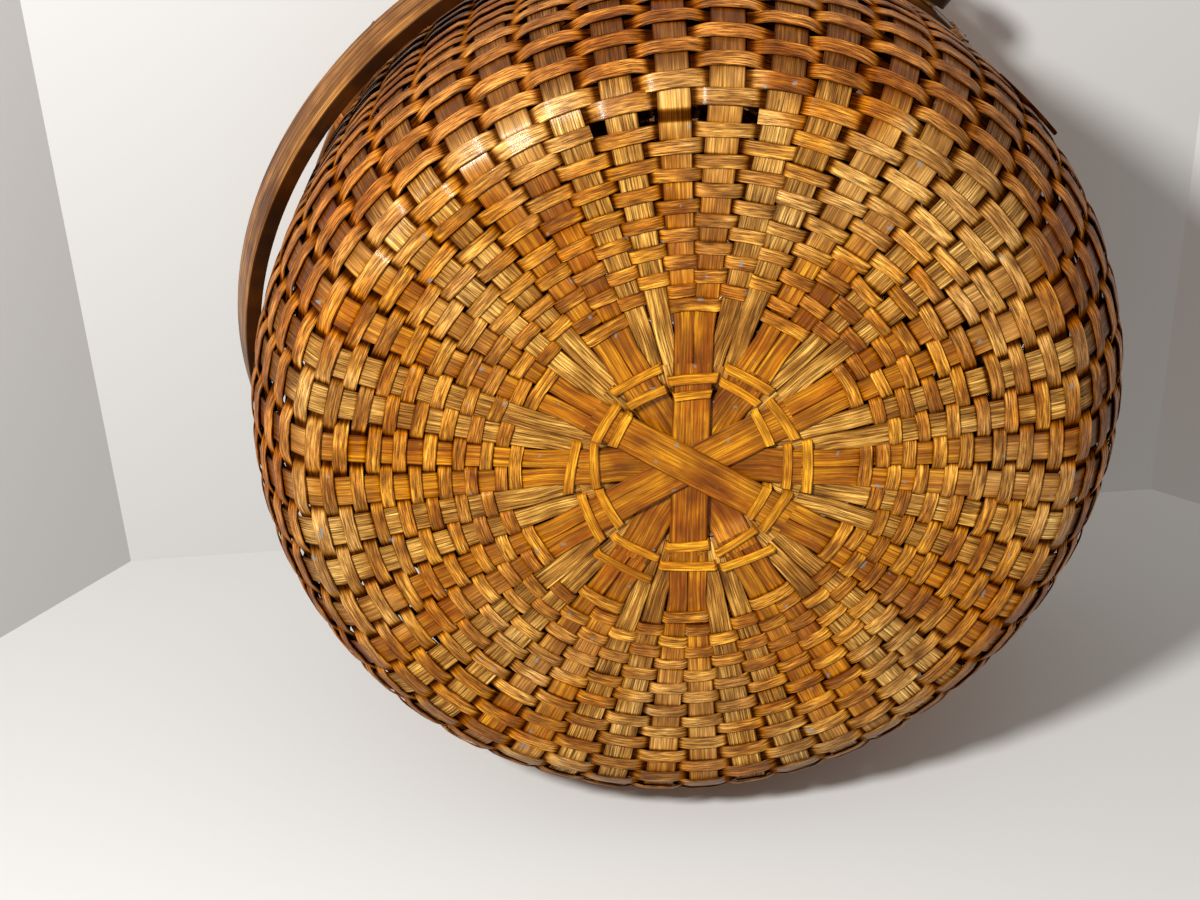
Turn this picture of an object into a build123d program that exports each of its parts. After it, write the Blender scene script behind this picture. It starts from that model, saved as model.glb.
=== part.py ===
"""Round splint-woven creel with a swinging bentwood bail and a hinged, latched lid.

Frame: millimetres, +Z up. The origin is the middle of the base, on the surface that the
basket stands on. X is the bail's pivot axis, -Y is the latch side, +Y is the hinge side.
"""
from build123d import *

from math import acos, atan2, cos, radians, sin, sqrt
import os

# --- Body: meridian of the woven surface, taken at the middle of the weave ---
widest_radius = 143.0
widest_height = 50.0
base_draw_in = 22.0  # how far the base's edge lies inside the widest ring
rim_draw_in = 7.0  # how far the rim lies inside the widest ring
rim_height = 150.0

# --- Splint stock ---
splint_thickness = 0.6
weave_thickness = 1.6
lay_gap = 0.05  # air left between two layers that lie on each other

# --- Base strips: they cross at the centre, and each end is split in two prongs ---
smooth_angles = (82.5, 22.5, 142.5, 52.5, 172.5, 112.5)  # outermost strip first
rough_angles = (7.5, 97.5, 37.5, 127.5, 67.5, 157.5)
strip_hub_width = 12.0
hub_radius = 24.0  # strips of one layer lie on each other inside this radius
hub_slope = 5.0  # radial length over which they come down to their own layer
fork_radius = 48.0
prong_root_width = 6.0
prong_width = 10.5
stake_top_clearance = 1.5

# --- Rows woven into the body ---
binding_row_width = 3.5
binding_row_gap = 0.5
base_weave_inner_radius = 52.0
base_weave_edge_gap = 0.5  # from the last row of the base to where the edge rows push in
edge_rows_inset = 6.0  # from the base's edge to the inner side of the edge rows
edge_row_width = 3.4
edge_row_gap = 0.2
edge_row_thickness = 1.2
edge_row_slope = 2.0
side_band_heights = (25.0, 50.0, 100.0)  # where one length of weaver ends and the next begins

# --- Rim of the basket ---
hoop_thickness = 3.8
hoop_height = 12.0
hoop_rise = 5.0  # how far the hoops stand above the weave
hoop_seat_gap = 0.2
filler_radius = 1.7
filler_drop = 2.5  # from the top of the hoops to the filler's centre
lashing_count = 24
lashing_width = 5.0

# --- Lid ---
lid_gap = 0.35  # air between the closed lid and the rim
lid_dome_rise = 14.0
lid_hoop_height = 7.8
lid_inner_hoop_height = 5.8
lid_weave_hole_gap = 2.2  # from the stakes' loops to the first row
lid_weave_edge_gap = 0.6  # from the woven dome's edge to the inner hoop's inner face
lid_row_pitch = 5.0
lid_row_groove_width = 1.0  # where one row meets the next
lid_row_groove_depth = 0.55
fish_hole_radius = 25.0
hole_hoop_width = 4.0
hole_hoop_height = 5.0
lid_stake_count = 12
lid_leg_width = 7.0
lid_fork_radius = 42.0
lid_prong_root_width = 5.0
lid_loop_width = 4.5
lid_loop_gap = 0.3

# --- Bail ---
bail_pivot_drop = 2.0  # from the top of the weave to the pivot
bail_crown_clearance = 25.0  # from the widest ring to the bail's crown, with the bail level
bail_side_gap = 1.4  # between the rim hoop and the bail's legs
bail_thickness = 5.6
bail_width = 16.0
bail_rest_gap = 0.65  # between the folded bail and the widest ring of the wall
bail_leg_end = 9.0
bail_edge_radius = 1.4
bail_pin_radius = 2.4
running_gap = 0.08
pin_head_radius = 6.5
pin_head_height = 2.2
pin_head_rounding = 1.3
pin_head_gap = 0.3
pin_tail = 0.6
washer_radius = 6.0
washer_thickness = 0.9
burr_radius = 5.0
burr_thickness = 1.0
burr_gap = 0.3

# --- Hinge ---
hinge_pin_radius = 1.5
hinge_eye_radius = 3.0
hinge_offset = 4.2  # from the hoop's outer face to the hinge axis
hinge_eye_length = 6.0
hinge_knuckle_length = 16.0
hinge_eye_gap = 0.5
hinge_pin_overhang = 1.5
hinge_leg_height = 9.0

# --- Latch ---
latch_pivot_drop = 1.0  # from the top of the weave to the pivot
latch_offset = 3.1  # from the hoop's outer face to the latch axis
latch_wire_radius = 1.3
latch_inner_width = 16.4
latch_inner_reach = 21.5
latch_corner_radius = 4.0
keeper_width = 9.0
keeper_height = 8.5
keeper_wall = 1.2
knob_stem_radius = 3.0
knob_stem_length = 5.0
knob_head_radius = 7.0
knob_head_height = 5.6
knob_head_rounding = 2.2

# --- Sizes that follow from the driving dimensions ---
base_radius = widest_radius - base_draw_in
rim_radius = widest_radius - rim_draw_in
edge_row_inner_radius = base_radius - edge_rows_inset
half_weave = weave_thickness / 2
layer_inner = half_weave + lay_gap
layer_outer = layer_inner + splint_thickness
stack_step = splint_thickness + lay_gap
base_level = layer_outer
edge_level = base_level + edge_row_thickness
edge_ramp_start = edge_row_inner_radius - edge_row_slope - lay_gap
hub_ramp_end = hub_radius + hub_slope
lower_height = widest_height - edge_level
lower_bulge = widest_radius - base_radius
lower_arc = (lower_bulge**2 + lower_height**2) / (2 * lower_bulge)
upper_height = rim_height - widest_height
upper_bulge = widest_radius - rim_radius
upper_arc = (upper_bulge**2 + upper_height**2) / (2 * upper_bulge)
stake_top = rim_height - stake_top_clearance
hoop_top = rim_height + hoop_rise
hoop_bottom = hoop_top - hoop_height
lid_underside = hoop_top + stack_step + lid_gap
lid_hoop_bottom = lid_underside + stack_step
half_prong_pitch = 360 / (len(smooth_angles) + len(rough_angles)) / 8


def wall_radius(height, offset):
    """Radius of the woven wall at a height, moved outwards by an offset."""
    if height < widest_height:
        centre, arc = widest_radius - lower_arc, lower_arc
    else:
        centre, arc = widest_radius - upper_arc, upper_arc
    return centre + sqrt((arc + offset) ** 2 - (height - widest_height) ** 2)


hoop_inner_face = wall_radius(hoop_bottom, layer_outer) + hoop_seat_gap
hoop_outer_face = hoop_inner_face + hoop_thickness
inner_hoop_outer_face = wall_radius(rim_height, -layer_outer) - hoop_seat_gap
inner_hoop_inner_face = inner_hoop_outer_face - hoop_thickness
lid_skirt_radius = (hoop_inner_face + inner_hoop_outer_face) / 2
lid_edge_height = lid_hoop_bottom + lid_hoop_height
lid_dome_arc = (lid_skirt_radius**2 + lid_dome_rise**2) / (2 * lid_dome_rise)
lid_dome_centre = lid_edge_height + lid_dome_rise - lid_dome_arc
hole_hoop_outer_radius = fish_hole_radius + hole_hoop_width
bail_inner_half = hoop_outer_face + bail_side_gap
bail_outer_half = bail_inner_half + bail_thickness
bail_reach = widest_radius + bail_crown_clearance
bail_leg_length = bail_reach - bail_outer_half
bail_crown_inside = bail_reach - bail_thickness
bail_corner_reach = sqrt(bail_crown_inside**2 + (bail_width / 2) ** 2)
bail_rest_radius = widest_radius + layer_outer + bail_rest_gap
bail_fold = acos(bail_rest_radius / bail_corner_reach) - atan2(bail_width / 2, bail_crown_inside)
bail_pivot_height = rim_height - bail_pivot_drop
latch_pivot_height = rim_height - latch_pivot_drop
hinge_y = hoop_outer_face + hinge_offset
latch_y = -(hoop_outer_face + latch_offset)
knob_height = lid_hoop_bottom + lid_hoop_height / 2
lid_headroom = lid_hoop_height + 2 * lid_dome_rise  # more than the height of the lid

os.makedirs("parts", exist_ok=True)


def save(solid, name):
    """Label a finished piece and write it as its own node."""
    solid.label = name
    export_step(solid, f"parts/{name}.step")


def dome_height(radius, offset):
    """Height of the lid's woven dome at a radius, moved outwards by an offset."""
    return lid_dome_centre + sqrt((lid_dome_arc + offset) ** 2 - radius**2)


def body_outline(offset, hub_height, top, mode=Mode.ADD):
    """Face inside the body's meridian, moved outwards by an offset."""
    base = base_level - offset
    edge = edge_level - offset
    corner = (wall_radius(edge, offset), edge)
    widest = (widest_radius + offset, widest_height)
    mouth = (wall_radius(top, offset), top)
    lower_middle = (widest_height + edge) / 2
    upper_middle = (widest_height + top) / 2
    with BuildLine() as outline:
        Polyline((0, top), (0, hub_height), (hub_radius, hub_height), (hub_ramp_end, base))
        Polyline((hub_ramp_end, base), (edge_ramp_start, base))
        Polyline((edge_ramp_start, base), (edge_ramp_start + edge_row_slope, edge), corner)
        ThreePointArc(corner, (wall_radius(lower_middle, offset), lower_middle), widest)
        ThreePointArc(widest, (wall_radius(upper_middle, offset), upper_middle), mouth)
        Line(mouth, (0, top))
    make_face(outline.edges(), mode=mode)


def lid_outline(offset, bottom, mode=Mode.ADD):
    """Face under the lid's dome and inside its skirt, moved outwards by an offset."""
    skirt = lid_skirt_radius + offset
    shoulder = (skirt, dome_height(skirt, offset))
    with BuildLine() as outline:
        Line((0, bottom), (0, dome_height(0, offset)))
        ThreePointArc((0, dome_height(0, offset)), (skirt / 2, dome_height(skirt / 2, offset)), shoulder)
        Polyline(shoulder, (skirt, bottom), (0, bottom))
    make_face(outline.edges(), mode=mode)


def prongs(angle, root_radius, root_width, reach):
    """Plan of one split end: two prongs that widen towards the edge and then run parallel."""
    for side in (-1, 1):
        Polygon(
            (root_radius, -root_width / 2),
            (base_radius, -prong_width / 2),
            (reach, -prong_width / 2),
            (reach, prong_width / 2),
            (base_radius, prong_width / 2),
            (root_radius, root_width / 2),
            rotation=angle + side * half_prong_pitch,
            align=None,
        )


def ring(inner_radius, outer_radius, bottom, height):
    """Flat ring about the basket's axis."""
    with BuildPart() as flat_ring:
        with BuildSketch(Plane.XY.offset(bottom)):
            Circle(outer_radius)
            Circle(inner_radius, mode=Mode.SUBTRACT)
        extrude(amount=height)
    return flat_ring.part


# --- Base strips: a layer of revolution cut to the plan of a strip with split ends ---
def base_strip(angle, inner, outer, hub_height):
    """One strip from rim to rim, across the base, lying between two offsets."""
    reach = widest_radius + 2 * layer_outer
    with BuildPart() as strip:
        with BuildSketch(Plane.XZ):
            body_outline(outer, hub_height, stake_top)
            body_outline(inner, hub_height + splint_thickness, stake_top, Mode.SUBTRACT)
        revolve(axis=Axis.Z)
        with BuildSketch(Plane.XY):
            Rectangle(2 * fork_radius, strip_hub_width, rotation=angle)
            prongs(angle, fork_radius - prong_root_width / 2, prong_root_width, reach)
            prongs(angle + 180, fork_radius - prong_root_width / 2, prong_root_width, reach)
        extrude(amount=rim_height, mode=Mode.INTERSECT)
    return strip.part


for level, strip_angle in enumerate(smooth_angles):
    smooth_strip = base_strip(strip_angle, layer_inner, layer_outer, level * stack_step)
    save(smooth_strip, f"smooth_strip_{level + 1}")

for level, strip_angle in enumerate(rough_angles):
    hub_level = (len(smooth_angles) + level) * stack_step
    rough_strip = base_strip(strip_angle, -layer_outer, -layer_inner, hub_level)
    save(rough_strip, f"rough_strip_{level + 1}")

# --- Rows woven round the base ---
for row in range(2):
    row_radius = hub_ramp_end + binding_row_gap + row * (binding_row_width + binding_row_gap)
    binding = ring(row_radius, row_radius + binding_row_width, stack_step, weave_thickness)
    save(binding, f"hub_binding_row_{row + 1}")

base_weave = ring(
    base_weave_inner_radius, edge_ramp_start - base_weave_edge_gap, stack_step, weave_thickness
)
save(base_weave, "base_weave")

for row in range(2):
    row_radius = edge_row_inner_radius + row * (edge_row_width + edge_row_gap)
    edge_row = ring(row_radius, row_radius + edge_row_width, 0, edge_row_thickness - lay_gap)
    save(edge_row, f"base_edge_row_{row + 1}")

# --- Side weave: four lengths of weaver, one above the other ---
band_limits = (0, *side_band_heights, rim_height)
band_names = ("bottom_side_weave", "lower_side_weave", "middle_side_weave", "upper_side_weave")
for bottom, top, band_name in zip(band_limits, band_limits[1:], band_names):
    with BuildPart() as band:
        with BuildSketch(Plane.XZ):
            body_outline(half_weave, 0, rim_height)
            body_outline(-half_weave, 0, rim_height, Mode.SUBTRACT)
            with Locations((edge_row_inner_radius, bottom)):
                Rectangle(
                    widest_radius, top - bottom - lay_gap,
                    align=(Align.MIN, Align.MIN), mode=Mode.INTERSECT,
                )
        revolve(axis=Axis.Z)
        with BuildSketch(Plane.YZ):
            with Locations((0, bail_pivot_height)):
                Circle(bail_pin_radius + lay_gap)
        extrude(amount=widest_radius * 2, both=True, mode=Mode.SUBTRACT)
    save(band.part, band_name)

# --- Rim of the basket: two hoops, a filler between them, and lashing over all three ---
rim_hoops = (
    ("rim_outer_hoop", hoop_inner_face, hoop_outer_face),
    ("rim_inner_hoop", inner_hoop_inner_face, inner_hoop_outer_face),
)
for hoop_name, inner_face, outer_face in rim_hoops:
    with BuildPart() as hoop:
        with BuildSketch(Plane.XY.offset(hoop_bottom)):
            Circle(outer_face)
            Circle(inner_face, mode=Mode.SUBTRACT)
        extrude(amount=hoop_height)
        with BuildSketch(Plane.YZ):
            with Locations((0, bail_pivot_height)):
                Circle(bail_pin_radius + lay_gap)
        extrude(amount=widest_radius * 2, both=True, mode=Mode.SUBTRACT)
    save(hoop.part, hoop_name)


def filler(height):
    """Round core laid in the groove between two hoops."""
    with BuildPart() as core:
        with BuildSketch(Plane.XZ):
            with Locations((lid_skirt_radius, height)):
                Circle(filler_radius)
        revolve(axis=Axis.Z)
    return core.part


save(filler(hoop_top - filler_drop), "rim_filler")


def lashing(inner_face, outer_face, closed_end, open_end, inner_open_end):
    """Splint wraps over a pair of hoops, bent round their closed end."""
    away = 1 if closed_end > open_end else -1
    inside = inner_face - lay_gap
    outside = outer_face + lay_gap
    with BuildPart() as wraps:
        with BuildSketch(Plane.XZ.offset(-lashing_width / 2)):
            Polygon(
                (inside - splint_thickness, inner_open_end),
                (inside - splint_thickness, closed_end + away * stack_step),
                (outside + splint_thickness, closed_end + away * stack_step),
                (outside + splint_thickness, open_end),
                (outside, open_end),
                (outside, closed_end + away * lay_gap),
                (inside, closed_end + away * lay_gap),
                (inside, inner_open_end),
                align=None,
            )
        extrude(amount=lashing_width)
    first = 180 / lashing_count
    return [
        Rot(0, 0, first + turn * 360 / lashing_count) * wraps.part for turn in range(lashing_count)
    ]


rim_wraps = lashing(inner_hoop_inner_face, hoop_outer_face, hoop_top, hoop_bottom, hoop_bottom)
save(Compound(children=rim_wraps), "rim_lashing")

# --- Bail pivots: a pin through both hoops on each side, with a washer and a burr ---
pin_end = inner_hoop_inner_face - burr_gap - burr_thickness - pin_tail
pin_head = bail_outer_half + pin_head_gap
washer_face = hoop_outer_face + lay_gap
burr_face = inner_hoop_inner_face - burr_gap
for side, side_name in ((1, "right"), (-1, "left")):
    pivot_plane = Plane(origin=(0, 0, bail_pivot_height), x_dir=(0, side, 0), z_dir=(side, 0, 0))
    with BuildPart() as pin:
        with BuildSketch(pivot_plane.offset(pin_end)):
            Circle(bail_pin_radius)
        extrude(amount=pin_head - pin_end)
        with BuildSketch(pivot_plane.offset(pin_head)):
            Circle(pin_head_radius)
        extrude(amount=pin_head_height)
        head_rim = pin.edges().filter_by(GeomType.CIRCLE).group_by(Axis.X)[-1 if side > 0 else 0]
        fillet(head_rim, pin_head_rounding)
    save(pin.part, f"{side_name}_bail_pin")
    with BuildPart() as washer:
        with BuildSketch(pivot_plane.offset(washer_face)):
            Circle(washer_radius)
            Circle(bail_pin_radius + lay_gap, mode=Mode.SUBTRACT)
        extrude(amount=washer_thickness)
    save(washer.part, f"{side_name}_bail_washer")
    with BuildPart() as burr:
        with BuildSketch(pivot_plane.offset(burr_face - burr_thickness)):
            Circle(burr_radius)
            Circle(bail_pin_radius + lay_gap, mode=Mode.SUBTRACT)
        extrude(amount=burr_thickness)
    save(burr.part, f"{side_name}_pin_burr")

# --- Bail: bentwood bow, built folded down to the hinge side ---
bail_plane = Plane(
    origin=(0, 0, bail_pivot_height), x_dir=(1, 0, 0), z_dir=(0, sin(bail_fold), cos(bail_fold))
)
with BuildPart() as bail:
    with BuildSketch(bail_plane):
        for half_span, wood in ((bail_outer_half, Mode.ADD), (bail_inner_half, Mode.SUBTRACT)):
            with Locations((0, bail_leg_length)):
                Circle(half_span, mode=wood)
            with Locations((0, bail_leg_length)):
                Rectangle(
                    2 * half_span, bail_leg_length + bail_leg_end,
                    align=(Align.CENTER, Align.MAX), mode=wood,
                )
        with Locations((0, -bail_leg_end)):
            Rectangle(
                2 * bail_outer_half, bail_reach + bail_leg_end,
                align=(Align.CENTER, Align.MIN), mode=Mode.INTERSECT,
            )
    extrude(amount=bail_width / 2, both=True)
    broad_side = Axis(bail_plane.origin, bail_plane.z_dir)
    chamfer(bail.faces().filter_by(broad_side).edges(), bail_edge_radius)
    with BuildSketch(Plane.YZ.offset(-bail_outer_half)):
        with Locations((0, bail_pivot_height)):
            Circle(bail_pin_radius + running_gap)
    extrude(amount=2 * bail_outer_half, mode=Mode.SUBTRACT)
save(bail.part, "bail_bow")

# --- Lid: stakes looped round the hoop of the fish hole, each leg split in two prongs ---
lid_leg_angle = 360 / lid_stake_count / 4
loop_inner_radius = hole_hoop_outer_radius + lid_loop_gap
loop_outer_radius = loop_inner_radius + lid_loop_width


def lid_stake(angle, inner, outer):
    """One strip bent round the hoop of the fish hole, with two legs that run to the lid's edge."""
    reach = lid_skirt_radius + 2 * layer_outer
    bottom = lid_hoop_bottom + stake_top_clearance
    loop_half_angle = radians(lid_leg_angle)
    with BuildPart() as stake:
        with BuildSketch(Plane.XZ):
            lid_outline(outer, bottom)
            lid_outline(inner, bottom, Mode.SUBTRACT)
        revolve(axis=Axis.Z)
        with BuildSketch(Plane.XY.offset(lid_underside)):
            Circle(loop_outer_radius)
            Circle(loop_inner_radius, mode=Mode.SUBTRACT)
            Polygon(
                (0, 0),
                (reach * cos(loop_half_angle), -reach * sin(loop_half_angle)),
                (reach * cos(loop_half_angle), reach * sin(loop_half_angle)),
                rotation=angle,
                align=None,
                mode=Mode.INTERSECT,
            )
            for leg in (-1, 1):
                leg_angle = angle + leg * lid_leg_angle
                with Locations(Rot(0, 0, leg_angle) * Pos(loop_inner_radius, 0)):
                    Rectangle(
                        lid_fork_radius - loop_inner_radius, lid_leg_width,
                        align=(Align.MIN, Align.CENTER),
                    )
                prong_root = lid_fork_radius - lid_prong_root_width / 2
                prongs(leg_angle, prong_root, lid_prong_root_width, reach)
        extrude(amount=lid_headroom, mode=Mode.INTERSECT)
    return stake.part


for turn in range(lid_stake_count):
    is_outer = turn % 2 == 0
    inner, outer = (layer_inner, layer_outer) if is_outer else (-layer_outer, -layer_inner)
    save(lid_stake(turn * 360 / lid_stake_count, inner, outer), f"lid_stake_{turn + 1:02d}")



def lid_groove(radius, offset, depth):
    """Section of the groove between two rows, cut to a depth below one face of the dome."""
    half = lid_row_groove_width / 2
    Polygon(
        (radius - half, dome_height(radius - half, offset + depth)),
        (radius - half, dome_height(radius - half, offset)),
        (radius, dome_height(radius, offset - depth)),
        (radius + half, dome_height(radius + half, offset)),
        (radius + half, dome_height(radius + half, offset + depth)),
        align=None,
        mode=Mode.SUBTRACT,
    )


with BuildPart() as lid_weave:
    first_row = loop_outer_radius + lid_weave_hole_gap
    weave_edge = inner_hoop_inner_face - lid_weave_edge_gap
    row_count = int((weave_edge - first_row) / lid_row_pitch)
    with BuildSketch(Plane.XZ):
        lid_outline(half_weave, lid_underside)
        lid_outline(-half_weave, lid_underside, Mode.SUBTRACT)
        with Locations((first_row, lid_underside)):
            Rectangle(
                weave_edge - first_row, lid_headroom,
                align=(Align.MIN, Align.MIN), mode=Mode.INTERSECT,
            )
        for row in range(1, row_count + 1):
            groove_radius = first_row + row * lid_row_pitch
            lid_groove(groove_radius, half_weave, lid_row_groove_depth)
            lid_groove(groove_radius, -half_weave, -lid_row_groove_depth)
    revolve(axis=Axis.Z)
save(lid_weave.part, "lid_weave")

hole_hoop_bottom = dome_height(hole_hoop_outer_radius, 0) - hole_hoop_height / 2
hole_hoop = ring(fish_hole_radius, hole_hoop_outer_radius, hole_hoop_bottom, hole_hoop_height)
save(hole_hoop, "fish_hole_hoop")

with BuildPart() as lid_outer_hoop:
    with BuildSketch(Plane.XY.offset(lid_hoop_bottom)):
        Circle(hoop_outer_face)
        Circle(hoop_inner_face, mode=Mode.SUBTRACT)
    extrude(amount=lid_hoop_height)
    with BuildSketch(Plane.XZ):
        with Locations((0, knob_height)):
            Circle(knob_stem_radius + lay_gap)
    extrude(amount=2 * hoop_outer_face, mode=Mode.SUBTRACT)
save(lid_outer_hoop.part, "lid_outer_hoop")

lid_inner_hoop = ring(
    inner_hoop_inner_face, inner_hoop_outer_face, lid_hoop_bottom, lid_inner_hoop_height
)
save(lid_inner_hoop, "lid_inner_hoop")

lid_wraps = lashing(
    inner_hoop_inner_face, hoop_outer_face, lid_hoop_bottom,
    lid_hoop_bottom + lid_hoop_height, lid_hoop_bottom + lid_inner_hoop_height,
)
save(Compound(children=lid_wraps), "lid_lashing")

# --- Hinge at the back: two eyes on the rim, a knuckle on the lid, one pin ---
hinge_plane = Plane(origin=(0, hinge_y, lid_underside), x_dir=(0, 1, 0), z_dir=(1, 0, 0))


def hinge_eye(start, length, leg_bottom, leg_height):
    """Eye about the hinge axis, with a leg that lies against the hoop."""
    with BuildPart() as eye:
        with BuildSketch(hinge_plane.offset(start)):
            Circle(hinge_eye_radius)
            with Locations((0, leg_bottom - lid_underside)):
                Rectangle(
                    hinge_offset + hoop_thickness, leg_height, align=(Align.MAX, Align.MIN)
                )
            Circle(hinge_pin_radius + running_gap, mode=Mode.SUBTRACT)
        extrude(amount=length)
        with BuildSketch(Plane.XY.offset(hoop_bottom)):
            Circle(hoop_outer_face + lay_gap)
        extrude(amount=lid_edge_height - hoop_bottom, mode=Mode.SUBTRACT)
    return eye.part


eye_start = hinge_knuckle_length / 2 + hinge_eye_gap
eye_leg_bottom = hoop_top - hinge_leg_height
right_eye = hinge_eye(eye_start, hinge_eye_length, eye_leg_bottom, hinge_leg_height)
left_eye = hinge_eye(
    -eye_start - hinge_eye_length, hinge_eye_length, eye_leg_bottom, hinge_leg_height
)
save(right_eye, "right_hinge_eye")
save(left_eye, "left_hinge_eye")

lid_knuckle = hinge_eye(
    -hinge_knuckle_length / 2, hinge_knuckle_length,
    lid_hoop_bottom + hinge_eye_gap, lid_hoop_height - 2 * hinge_eye_gap,
)
save(lid_knuckle, "lid_hinge_knuckle")

hinge_pin_half = eye_start + hinge_eye_length + hinge_pin_overhang
with BuildPart() as hinge_pin:
    with BuildSketch(hinge_plane.offset(-hinge_pin_half)):
        Circle(hinge_pin_radius)
    extrude(amount=2 * hinge_pin_half)
save(hinge_pin.part, "hinge_pin")

# --- Latch at the front: a keeper on the rim, a wire loop that hangs in it, a knob on the lid ---
with BuildPart() as latch_keeper:
    bore_radius = latch_wire_radius + running_gap
    depth = latch_offset + bore_radius + keeper_wall
    with BuildSketch(Plane.XY.offset(latch_pivot_height - keeper_height / 2)):
        with Locations((0, -hoop_outer_face + hoop_thickness)):
            Rectangle(keeper_width, depth + hoop_thickness, align=(Align.CENTER, Align.MAX))
        Circle(hoop_outer_face + lay_gap, mode=Mode.SUBTRACT)
    extrude(amount=keeper_height)
    with BuildSketch(Plane.YZ.offset(-keeper_width)):
        with Locations((latch_y, latch_pivot_height)):
            Circle(bore_radius)
    extrude(amount=2 * keeper_width, mode=Mode.SUBTRACT)
save(latch_keeper.part, "latch_keeper")

loop_width = latch_inner_width + 2 * latch_wire_radius
loop_height = latch_inner_reach + latch_wire_radius
front_plane = Plane(origin=(0, latch_y, latch_pivot_height), x_dir=(1, 0, 0), z_dir=(0, -1, 0))
with BuildSketch(front_plane) as loop_outline:
    RectangleRounded(
        loop_width, loop_height, latch_corner_radius, align=(Align.CENTER, Align.MAX)
    )
loop_path = loop_outline.sketch.wires()[0]
with BuildPart() as latch_loop:
    with BuildSketch(Plane(origin=loop_path @ 0, z_dir=loop_path % 0)):
        Circle(latch_wire_radius)
    sweep(path=loop_path)
save(latch_loop.part, "latch_loop")

with BuildPart() as latch_knob:
    stem_start = hoop_inner_face + hoop_seat_gap
    neck = hoop_outer_face + knob_stem_length
    knob_plane = Plane(origin=(0, 0, knob_height), x_dir=(1, 0, 0), z_dir=(0, -1, 0))
    with BuildSketch(knob_plane.offset(stem_start)):
        Circle(knob_stem_radius)
    extrude(amount=neck - stem_start)
    with BuildSketch(knob_plane.offset(neck)):
        Circle(knob_head_radius)
    extrude(amount=knob_head_height)
    head_edges = latch_knob.edges().filter_by(GeomType.CIRCLE).group_by(Axis.Y)
    fillet(head_edges[0], knob_head_rounding)
save(latch_knob.part, "latch_knob")
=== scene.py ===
"""Round splint-woven creel with a bentwood bail and a hinged lid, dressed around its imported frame.

Everything is in metres in the part's own frame: +Z up, the origin in the middle of the base, the
bail's pivots along X, the latch at -Y and the hinge at +Y.
"""
import logging
import math
from dataclasses import dataclass, field, replace
from enum import Enum
from typing import Callable, Sequence

import bpy
import numpy as np
from mathutils import Matrix, Vector


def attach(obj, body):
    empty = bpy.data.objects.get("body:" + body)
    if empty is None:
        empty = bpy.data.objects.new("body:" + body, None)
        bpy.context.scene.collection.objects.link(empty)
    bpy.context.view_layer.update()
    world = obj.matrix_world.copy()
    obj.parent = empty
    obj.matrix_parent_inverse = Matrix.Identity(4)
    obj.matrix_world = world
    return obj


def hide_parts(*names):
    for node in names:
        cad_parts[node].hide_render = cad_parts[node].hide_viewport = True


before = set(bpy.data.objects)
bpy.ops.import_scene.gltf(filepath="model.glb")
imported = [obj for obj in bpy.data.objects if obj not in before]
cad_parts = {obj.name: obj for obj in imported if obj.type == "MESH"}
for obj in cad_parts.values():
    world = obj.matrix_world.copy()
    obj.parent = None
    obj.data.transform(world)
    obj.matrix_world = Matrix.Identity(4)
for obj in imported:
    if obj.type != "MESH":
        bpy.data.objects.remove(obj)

LOG = logging.getLogger("creel")
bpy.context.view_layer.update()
Socket = bpy.types.NodeSocket
Value = Socket | float | tuple[float, ...]  # what a node's input takes
Curve = Callable[[np.ndarray | float], np.ndarray]  # a value at each running length
MM = 0.001
STAKES = 48
STAKE_PITCH = 2 * math.pi / STAKES
FIRST_STAKE = math.radians(228.75)  # stakes are counted from here, clockwise seen from above


# --- Small tools -----------------------------------------------------------------------------


def srgb(hex_colour: str) -> tuple[float, float, float, float]:
    """Turn an sRGB hex colour into Blender's linear one.

    Args:
        hex_colour: six hex digits, such as "C88A3C".

    Returns:
        Linear red, green and blue, and an alpha of 1.
    """
    levels = [int(hex_colour[i:i + 2], 16) / 255 for i in (0, 2, 4)]
    linear = [c / 12.92 if c <= 0.04045 else ((c + 0.055) / 1.055) ** 2.4 for c in levels]
    return (*linear, 1.0)


def unit(vectors: np.ndarray) -> np.ndarray:
    """Scale each row to length one."""
    return vectors / np.maximum(np.linalg.norm(vectors, axis=-1, keepdims=True), 1e-12)


def ease(share: np.ndarray | float) -> np.ndarray:
    """Smooth step from 0 to 1 over a share from 0 to 1."""
    clipped = np.clip(share, 0.0, 1.0)
    return clipped * clipped * (3 - 2 * clipped)


def polar(radius: np.ndarray, angle: np.ndarray, height: np.ndarray) -> np.ndarray:
    """Points in space from radius, angle about Z and height."""
    return np.stack([radius * np.cos(angle), radius * np.sin(angle), height + 0 * angle], axis=-1)


def run_length(points: np.ndarray) -> np.ndarray:
    """Length along a line of points up to each of them."""
    steps = np.linalg.norm(np.diff(points, axis=0), axis=1)
    return np.concatenate([[0.0], np.cumsum(steps)])


def tangential(angle: np.ndarray) -> np.ndarray:
    """Direction along a ring at each angle."""
    return np.stack([-np.sin(angle), np.cos(angle), 0 * angle], axis=-1)


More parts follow.
